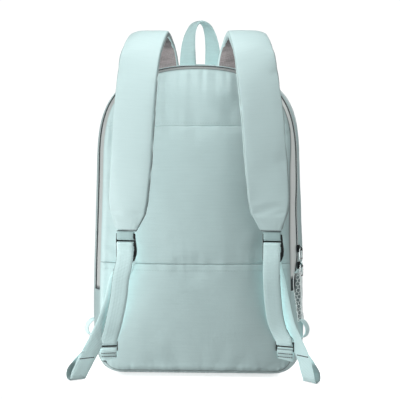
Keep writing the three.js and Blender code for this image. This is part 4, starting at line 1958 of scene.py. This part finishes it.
@dataclass
class Adjuster:
    """Ladder lock, its webbing and the ring that anchors it to the low corner of the bag."""

    side: Side
    sway: float = SWAY
    turn: float = TURN
    webbing: float = 1.6
    width: float = 25.0
    out: float = 107.0
    y: float = -111.5
    thickness: float = 4.0
    lock_rows: tuple[float, ...] = (
        173.2, 175.6, 178, 182, 186, 190.5, 194.5, 198.5, 202.9, 205.3, 207.4, 209.7, 213.5, 217,
    )
    lock_slots: tuple[int, ...] = (5, 6, 8, 10)
    lock_half: tuple[Flat, ...] = (
        (173.2, 9), (178, 13.6), (186, 16.6), (194, 17.2), (204, 15.6), (217, 14.4),
    )
    slot_width: float = 25.8
    near_rail: float = 1.2
    ring_out: float = 131.2
    ring_sway: float = -0.6
    ring_y: float = -87.0
    ring_low: float = 38.5
    ring_high: float = 53.0
    ring_middle: Flat = (44.9, 46.6)
    ring_bar: float = 3.0
    ring_rail: float = 1.4
    ring_width: float = 28.6
    ring_turns: Flat = (12.0, -22.0)
    ring_ahead: Flat = (0.0, -4.0)
    ring_lift: Flat = (0.0, 2.5)
    tail_turns: Flat = (0.72, 1.0)
    fold_turn: float = 46.0
    tack: Flat = (32.0, 37.5)
    tab_rows: Flat = (35.5, 29.5)
    tab_row_half: float = 11.0
    tab_y: float = -88.0
    # Height of the painted shade in the tab's bend, and heights over which the end loop's top darkens to
    # painted shade
    tab_bend: float = 44.6
    loop_seam: Flat = (219.6, 220.8)
    load: tuple[Row, ...] = (
        Row(125.4, -90, 68, 0, -1.5), Row(128.2, -87.4, 61, 0, -0.9), Row(131, -84, 54),
        Row(131.2, -84, 50.6, 0, -0.6), Row(131.2, -85, 48.2, 0, -0.6), Row(131.2, -87, 47.7, 0, -0.6),
        Row(131.2, -89, 48.2, 0, -0.6), Row(131.2, -90, 50.6, 0, -0.6),
        Row(131, -90.2, 54), Row(128.3, -90.8, 61, 0, -0.9), Row(125.6, -92.4, 68, 0, -1.5),
        Row(119.5, -98.5, 88, 0, -1.8), Row(113, -107, 122, 0, -0.5), Row(110.3, -112.6, 150, 0, 0.5),
    )
    thread: tuple[Flat, ...] = (
        (4.4, 182), (3.5, 196.7), (3.5, 202.3), (2.6, 203.9), (0, 204.4), (-2.6, 203.9),
        (-3.5, 202.3), (-3.5, 196.7), (-4.2, 187), (-6.6, 172),
    )
    tail: tuple[Row, ...] = (
        Row(116.3, -101, 150, 8, 1.7), Row(125, -94.5, 116, 24, 1), Row(136.3, -90.5, 82, 40, -0.3),
        Row(148.2, -97, 56, 46, -0.2), Row(159.2, -109.7, 33, 46, -0.8), Row(164.9, -118, 18, 46, -2.4),
        Row(168.8, -122, 7, 46, -3.2), Row(169.9, -120.6, 2.8, 46, -3.3), Row(171.8, -117.2, 2, 46, -3.2),
        Row(176, -112.8, 4.2, 46, -3.1), Row(176.5, -111.4, 12, 46, -3.2), Row(169, -109.2, 24, 44, -2.2),
        Row(159.2, -106.6, 36, 44, -0.7),
    )
    tab: tuple[Row, ...] = (
        Row(129.6, -80, 25, width=24), Row(130.4, -81.4, 30, width=24), Row(131.4, -83.4, 36),
        Row(131.8, -84, 40.6), Row(131.8, -85, 43.3), Row(131.8, -87, 43.8), Row(131.8, -89, 43.3),
        Row(131.8, -90, 40.6),
        Row(131.4, -88.4, 35.5), Row(130.4, -83.8, 29, width=24), Row(129.6, -82.4, 25, width=24),
    )
    end_loop: tuple[Flat, ...] = (
        (3, 221.7), (3.5, 216.7), (3.5, 211.3), (2.8, 208.9), (0, 208.3), (-2.8, 208.9), (-3.5, 211.3),
        (-3.5, 216.7), (-3, 221.7),
    )

    def middle(self) -> Vector:
        """Point of the floor under the lock."""
        return Vector((self.side.value * self.out + self.sway, self.y, 0.0))

    def ring_foot(self) -> Vector:
        """Point of the floor under the ring, before it is turned."""
        return Vector((self.side.value * self.ring_out + self.ring_sway, self.ring_y, 0.0))

    def in_front(self, rows: Iterable[Flat]) -> list[Knot]:
        """Rows of distance in front of the lock and height, as knots.

        Args:
            rows: Distance in front and height of each row.

        Returns:
            The knots.
        """
        turn = math.radians(self.turn)
        ahead = Vector((math.sin(turn), -math.cos(turn), 0.0))
        points = [self.middle() + ahead * front + Vector((0, 0, z)) for front, z in rows]
        return [Knot(point, self.turn, self.width, self.webbing) for point in points]

    def swing(self, knots: Iterable[Knot]) -> list[Knot]:
        """Turns the low rows about the ring, so that they face out with the corner of the bag.

        Args:
            knots: Rows of a band.

        Returns:
            The rows, turned where they are near the ring.
        """
        right = self.side is Side.RIGHT
        turn = self.ring_turns[right]
        moved = Vector((0.0, self.ring_ahead[right], self.ring_lift[right]))
        axis = self.ring_foot()
        made = []
        for k in knots:
            share = smooth(100, 58, k.point.z)
            turned = Matrix.Rotation(math.radians(turn * share), 3, "Z") @ (k.point - axis)
            made.append(Knot(axis + turned + moved * share, k.aim + turn * share, k.width, k.thick))
        return made

    def build_lock(self) -> None:
        """Builds the ladder lock: a frame with two slots whose rails bow outwards, the right one more."""
        slot = self.slot_width / 2
        widest = max(half for _, half in self.lock_half)
        columns = (-widest, -slot, -slot / 3, slot / 3, slot, widest)
        windows = [(column, row) for row in self.lock_slots for column in (1, 2, 3)]

        def trim(x: float, z: float) -> Flat:
            """Draws a point of the plate in to the lock's bowed outline.

            Args:
                x: Across, in mm.
                z: Height in mm.

            Returns:
                The new place.
            """
            i = next(k for k in range(len(self.lock_half) - 1) if z <= self.lock_half[k + 1][0])
            (low, narrow), (high, wide) = self.lock_half[i:i + 2]
            half = mix(narrow, wide, (z - low) / (high - low))
            if x < 0:
                half = min(half, slot + self.near_rail)
            inner = min(slot, half - self.near_rail)
            return (math.copysign(half, x) if abs(x) > slot + 0.1 else x * inner / slot), z

        name = f"ladder_lock_{self.side.word}_moulded"
        piece = plate_with_windows(name, columns, self.lock_rows, windows, self.thickness, 1.1, trim)
        stand_plate(piece, self.middle(), self.turn)
        seat(piece, PLASTIC, f"ladder_lock_{self.side.word}")

    def build_ring(self) -> None:
        """Builds the square ring at the anchor, with a thin bar between its two bands."""
        half, bar, rail = self.ring_width / 2, self.ring_bar, self.ring_rail
        columns = (-half, -half + rail, half - rail, half)
        low, high = self.ring_middle
        rows = (self.ring_low, self.ring_low + bar, low, high, self.ring_high - bar, self.ring_high)
        name = f"anchor_ring_{self.side.word}_moulded"
        piece = plate_with_windows(name, columns, rows, [(1, 1), (1, 3)], bar, 0.5)
        knot = self.swing([Knot(self.ring_foot(), 0.0, 0.0, 0.0)])[0]
        stand_plate(piece, knot.point, knot.aim)
        seat(piece, PLASTIC, f"anchor_ring_{self.side.word}")

    def build(self) -> None:
        """Builds the lock, the ring and every band on them, with painted shade in the tab's bend and the
        loop's seam.
        """
        word = self.side.word
        self.build_lock()
        self.build_ring()
        knots = [
            *self.swing(side_knots(self.load, self.side, self.webbing)), *self.in_front(self.thread),
            *side_knots(self.hang(), self.side, self.webbing),
        ]
        band = ribbon(f"adjuster_webbing_{word}_band", stations(knots, 7))
        sculpt(band, self.shade_fold)
        seat(band, WEBBING, f"adjuster_webbing_{word}")
        tab_knots = self.swing(side_knots(self.tab, self.side, self.webbing))
        tab = ribbon(f"anchor_tab_{word}_band", stations(tab_knots, 6))
        # Painted shade in the tab's bend, in the gap under the loaded webbing
        sculpt(tab, lambda point, _: (point, math.exp(-((point.z - self.tab_bend) / 0.9) ** 2)))
        seat(tab, WEBBING, f"anchor_tab_{word}")
        self.sew(band, tab)
        # Painted shade: the end loop takes the darker webbing and a dark top, recessed under the strap's end
        loop = ribbon(f"strap_end_loop_{word}_band", stations(self.in_front(self.end_loop), 6))
        sculpt(loop, lambda point, _: (point, smooth(*self.loop_seam, point.z)))
        seat(loop, HANDLE, f"strap_end_loop_{word}")

    def hang(self) -> list[Row]:
        """Rows of the tail, turned as it hangs on this side."""
        share = self.tail_turns[self.side is Side.RIGHT]
        return [row._replace(turn=row.turn * share) for row in self.tail]

    def shade_fold(self, point: Vector, normal: Vector) -> Moved:
        """Paints shade inside the tail's folded end, on the edge of the loaded webbing and over the left load
        strand.

        Args:
            point: Point in mm.
            normal: Its normal.

        Returns:
            New place in mm and share of painted shade.
        """
        x, y, z = point
        hand = self.side.value
        turn = math.radians(-hand * self.fold_turn)
        fold = next(r for r in self.tail if r.z < 20)
        front = Vector((hand * fold.out + fold.sway, fold.y, z))
        deep = (point - front).dot(Vector((-math.sin(turn), math.cos(turn), 0.0)))
        # Painted shade: inside the folded end, on the loaded webbing's outer edge, and lighter over the left
        # load strand
        behind = smooth(1.5, 5, deep) * smooth(32, 24, z) * smooth(150, 156, abs(x))
        loaded = abs(x) < 125 + 0.24 * (150 - z)
        edge = smooth(0.4, 0.75, hand * normal.x) if loaded and 52 < z < 182 else 0.0
        shaded = 0.15 if loaded and self.side is Side.LEFT else 0.0
        return Vector((x, y, max(z, 0.3))), max(0.75 * behind, 1.1 * edge, shaded)

    def sew(self, band: Piece, tab: Piece) -> None:
        """Sews the tack across the tail's folded end and the rows across the tab.

        Args:
            band: The adjuster's webbing.
            tab: The tab at the ring.
        """
        hand = self.side.value
        ahead = Vector((0, 1, 0))
        right = self.side is Side.RIGHT
        above, below = self.hang()[3:5]
        share = (above.z - self.tack[right]) / (above.z - below.z)
        out, y, z, degrees, sway, width = (mix(a, b, share) for a, b in zip(above, below))
        turn = math.radians(-hand * degrees)
        half = Vector((math.cos(turn), math.sin(turn), 0.0)) * (width / 2 - 0.8)
        middle = Vector((hand * out + sway, y, z))
        rows = [(band, StitchRow(middle - half, middle + half, ahead))]
        half = Vector((self.tab_row_half, 0, 0))
        for low in self.tab_rows:
            centre = Vector((hand * self.ring_out, self.tab_y, low + self.ring_lift[right]))
            rows.append((tab, StitchRow(centre - half, centre + half, ahead)))
        Stitching(dash=3.4, pitch=2.9, thick=1.7).build(f"tack_stitches_{self.side.word}", TACK_THREAD, rows)


@dataclass
class GrabHandle:
    """Webbing handle on the top of the bag, which turns across it at its crown."""

    thick: float = 1.6
    rows: tuple[tuple[float, float, float, float], ...] = (
        (-15, -46, 452, 172), (-15, -46, 472, 161), (-14.2, -45.5, 492, 146), (-11, -44, 510, 130),
        (-5.2, -42, 521.8, 116), (3.2, -39.5, 526, 104), (11, -37.3, 521.2, 118), (16.5, -35.8, 510, 134),
        (20.2, -34.5, 492, 148), (21.5, -34, 472, 161), (21.5, -34, 452, 172),
    )
    width: float = 25.0
    doubling: float = 1.2
    crown: Flat = (508.0, 524.0)

    def build(self) -> None:
        """Builds and dresses the handle, doubled at its crown."""
        knots = []
        for x, y, z, aim in self.rows:
            doubled = self.thick * (1 + self.doubling * smooth(*self.crown, z))
            knots.append(Knot(Vector((x, y, z)), aim, self.width, doubled))
        seat(ribbon("grab_handle_band", stations(knots, 12)), HANDLE, "grab_handle")


@dataclass
class SideLoop:
    """Small tape loop sewn into the side wall."""

    side: Side
    x: float = 155.0
    y: float = -54.0
    width: float = 10.0
    thick: float = 1.6
    reach_right: float = 0.72
    turn: float = 36.0
    rows: tuple[Flat, ...] = ((-14, 82), (2, 81), (9, 76), (13, 68), (10.5, 60), (3, 56), (-14, 55))

    def build(self) -> None:
        """Builds and dresses the loop."""
        share = self.reach_right if self.side is Side.RIGHT else 1.0
        knots = []
        for reach, z in self.rows:
            out = self.x + (reach * share if reach > 0 else reach)
            aim = 90.0 - self.side.value * self.turn
            knots.append(Knot(Vector((self.side.value * out, self.y, z)), aim, self.width, self.thick))
        kept = [s for s in stations(knots, 10) if abs(s.point.x) > self.x - 2]
        seat(ribbon(f"side_loop_{self.side.word}_band", kept), WEBBING, f"side_loop_{self.side.word}")


# Stitches


class StitchRow(NamedTuple):
    """Row of stitches on a cover: its two ends and the direction that it is dropped along, in mm."""

    start: Vector
    stop: Vector
    drop: Vector


@dataclass
class Stitching:
    """Lockstitch along the seams: short dashes that lie half sunk in the cloth, in mm."""

    dash: float = 3.0
    pitch: float = 4.0
    thick: float = 0.55
    sunk: float = 0.1
    drop_from: float = 60.0

    def stands(self, cover: Piece, row: StitchRow) -> list[Matrix]:
        """Places of the dashes of one row.

        Args:
            cover: Piece that the row lies on.
            row: Ends and direction of the row.

        Returns:
            A place for each dash that meets the cover.
        """
        mesh = cover.data
        tree = BVHTree.FromPolygons([v.co for v in mesh.vertices], [p.vertices for p in mesh.polygons])
        along = row.stop - row.start
        count = max(int(along.length / self.pitch), 1)
        drop = row.drop.normalized()
        made = []
        for k in range(count):
            above = row.start + along * ((k + 0.5) / count) - drop * self.drop_from
            hit, normal, _, _ = tree.ray_cast(above * MM, drop)
            if hit is None:
                continue
            out = normal if normal.dot(drop) < 0 else -normal
            made.append(stand_on(hit / MM - out * self.sunk, along - out * along.dot(out), out))
        return made

    def build(self, name: str, finish: Finish, rows: Iterable[tuple[Piece, StitchRow]]) -> None:
        """Builds rows of stitches as one piece.

        Args:
            name: Name of the new piece.
            finish: The thread.
            rows: Each row with the piece that it lies on.
        """
        places = [stand for cover, row in rows for stand in self.stands(cover, row)]
        bpy.ops.object.select_all(action="DESELECT")
        bpy.ops.mesh.primitive_uv_sphere_add(segments=8, ring_count=6, radius=0.5)
        dash = bpy.context.object
        for vertex in dash.data.vertices:
            x, y, z = vertex.co
            vertex.co = Vector((x * self.dash, y * self.thick, z * self.thick)) * MM
        seat(scatter(name, dash, places), finish)


# Half length and height of each row on the panels, and the depth that the rows start from, in mm
TOPSTITCH = (128.0, 377.5)
HEM_STITCH = (138.0, 161.0)
STITCH_Y = -95.0


def stitch_panels(upper: Piece, lower: Piece) -> None:
    """Sews the topstitch above the upper seam and the hem below the lower seam.

    Args:
        upper: Panel above the upper seam.
        lower: Panel below the lower seam.
    """
    rows = []
    for cover, (half, z) in ((upper, TOPSTITCH), (lower, HEM_STITCH)):
        ends = Vector((-half, STITCH_Y, z)), Vector((half, STITCH_Y, z))
        rows.append((cover, StitchRow(*ends, Vector((0, 1, 0)))))
    Stitching().build("panel_stitches", THREAD, rows)


# Studio


@dataclass
class Studio:
    """White floor, soft lights and the camera that stands in front of the harness side, in mm and degrees."""

    target: tuple[float, float, float] = (3.6, -60.0, 262.0)
    azimuth: float = 3.0
    elevation: float = 5.0
    distance: float = 2200.0
    mm_per_pixel: float = 1.488
    pixels: int = 400
    sensor: float = 36.0
    # Floor size, and the box and tail spot round which its painted glow is dimmed
    floor_reach: Flat = (350.0, 230.0)
    shadow_half: Flat = (112.0, 52.0)
    shadow_y: float = -26.0
    tail_spot: Flat = (176.0, -114.0)

    def build_camera(self) -> None:
        """Places the camera."""
        data = bpy.data.cameras.new("camera")
        data.sensor_width = self.sensor
        data.lens = self.sensor * self.distance / (self.mm_per_pixel * self.pixels)
        data.clip_end = 50.0
        camera = bpy.data.objects.new("camera", data)
        bpy.context.collection.objects.link(camera)
        a, e = math.radians(self.azimuth), math.radians(self.elevation)
        ahead = Vector((-math.sin(a) * math.cos(e), math.cos(a) * math.cos(e), -math.sin(e)))
        camera.location = (Vector(self.target) - ahead * self.distance) * MM
        camera.rotation_euler = ahead.to_track_quat("-Z", "Y").to_euler()
        bpy.context.scene.camera = camera

    def build_floor(self) -> None:
        """Lays the floor: matt white paper with a painted glow that burns it out white, dimmed near the bag
        so its contact shadow shows.
        """
        floor = add_grid(70, 46, 2.0)
        floor.name = "floor"
        # Painted light: the floor glows, least round the bag's base and the right tail's end
        painted_glow = floor.data.attributes.new("painted_glow", "FLOAT", "POINT")
        for vertex in floor.data.vertices:
            x, y = vertex.co.x * self.floor_reach[0], vertex.co.y * self.floor_reach[1]
            vertex.co = Vector((x, y, 0.0)) * MM
            past = abs(x) - self.shadow_half[0], abs(y - self.shadow_y) - self.shadow_half[1]
            away = math.hypot(*(max(side, 0.0) for side in past))
            tail = math.hypot(abs(x) - self.tail_spot[0], y - self.tail_spot[1])
            painted_glow.data[vertex.index].value = mix(0.25, 0.95, smooth(0, 30, min(away, tail)))
        material = bpy.data.materials.new("white_paper")
        material.use_nodes = True
        tree = material.node_tree
        shader = tree.nodes["Principled BSDF"]
        shader.inputs["Base Color"].default_value = linear("#f6f6f6")
        shader.inputs["Roughness"].default_value = 0.9
        shader.inputs["Emission Color"].default_value = linear(WHITE)
        source = add_node(tree, "Attribute", {"attribute_name": "painted_glow"})
        tree.links.new(source.outputs["Fac"], shader.inputs["Emission Strength"])
        floor.data.materials.append(material)
        floor.visible_diffuse = False

    @staticmethod
    def build_light(
        name: str, place: Sequence[float], aim: Sequence[float], size: Flat, watts: float, shadow: bool = True
    ) -> None:
        """Hangs one soft box.

        Args:
            name: Name of the light.
            place: Its place in metres.
            aim: Point in metres that it faces.
            size: Width and height of the soft box in metres.
            watts: Power.
            shadow: False for a wrap of light so wide that nothing throws a shadow in it.
        """
        data = bpy.data.lights.new(name, "AREA")
        data.use_shadow = shadow
        data.energy = watts
        data.shape = "RECTANGLE"
        data.size, data.size_y = size
        light = bpy.data.objects.new(name, data)
        bpy.context.collection.objects.link(light)
        light.location = Vector(place)
        light.rotation_euler = (Vector(aim) - Vector(place)).to_track_quat("-Z", "Y").to_euler()

    def build(self) -> None:
        """Builds floor, lights, surroundings and camera."""
        self.build_floor()
        self.build_camera()
        panel = (0.0, -0.1, 0.26)
        self.build_light("key", (-0.6, -0.4, 0.12), panel, (0.3, 0.3), 3.8, shadow=False)
        self.build_light("sweep", (-0.05, -0.3, 0.75), panel, (0.2, 0.2), 1.0, shadow=False)
        self.build_light("top", (-0.1, -0.35, 1.2), panel, (0.6, 0.6), 1.2)
        self.build_light("fill", (0.9, -0.6, 0.5), panel, (1.0, 1.0), 3.25)
        self.build_light("rear", (0.2, 1.0, 0.35), (0.0, 0.06, 0.25), (0.5, 0.5), 4.0, shadow=False)
        scene = bpy.context.scene
        scene.view_settings.view_transform = "Standard"
        world = bpy.data.worlds.new("white_room")
        scene.world = world
        world.use_nodes = True
        tree = world.node_tree
        tree.nodes.clear()
        path = add_node(tree, "LightPath")
        seen = add_node(tree, "Background", {"Color": linear(WHITE), "Strength": 1.05})
        lit = add_node(tree, "Background", {"Color": linear(WHITE), "Strength": 0.22})
        both = add_node(tree, "MixShader", links={
            0: path.outputs["Is Camera Ray"], 1: lit.outputs[0], 2: seen.outputs[0]})
        add_node(tree, "OutputWorld", links={"Surface": both.outputs[0]})


def main() -> None:
    """Builds every piece in order."""
    logging.basicConfig(level=logging.INFO, format="%(message)s")
    Studio().build()
    upper_seam, lower_seam = 373.0, 170.5
    upper = Panel(
        "back_panel_upper", upper_seam, 0.0, Edge.SEAM, Edge.RIM, rows=28, low_seam=FAINT_SEAM,
    ).build()
    Panel(
        "back_panel_middle", lower_seam, upper_seam, Edge.SEAM, Edge.SEAM,
        low_seam=CRISP_SEAM, high_seam=FAINT_SEAM,
    ).build()
    lower = Panel(
        "back_panel_lower", 0.0, lower_seam, Edge.RIM, Edge.SEAM, rows=40, high_seam=CRISP_SEAM, hem=9.5,
    ).build()
    stitch_panels(upper, lower)
    Panel("front_panel", 0.0, 0.0, Edge.RIM, Edge.RIM, FORM.front_rim, 14.0, columns=76, rows=90).build()
    Gusset().build()
    Zip().build()
    SidePocket().build()
    GrabHandle().build()
    for side in Side:
        SideLoop(side).build()
        ShoulderStrap(side).build()
        Adjuster(side).build()


if __name__ == "__main__":
    main()
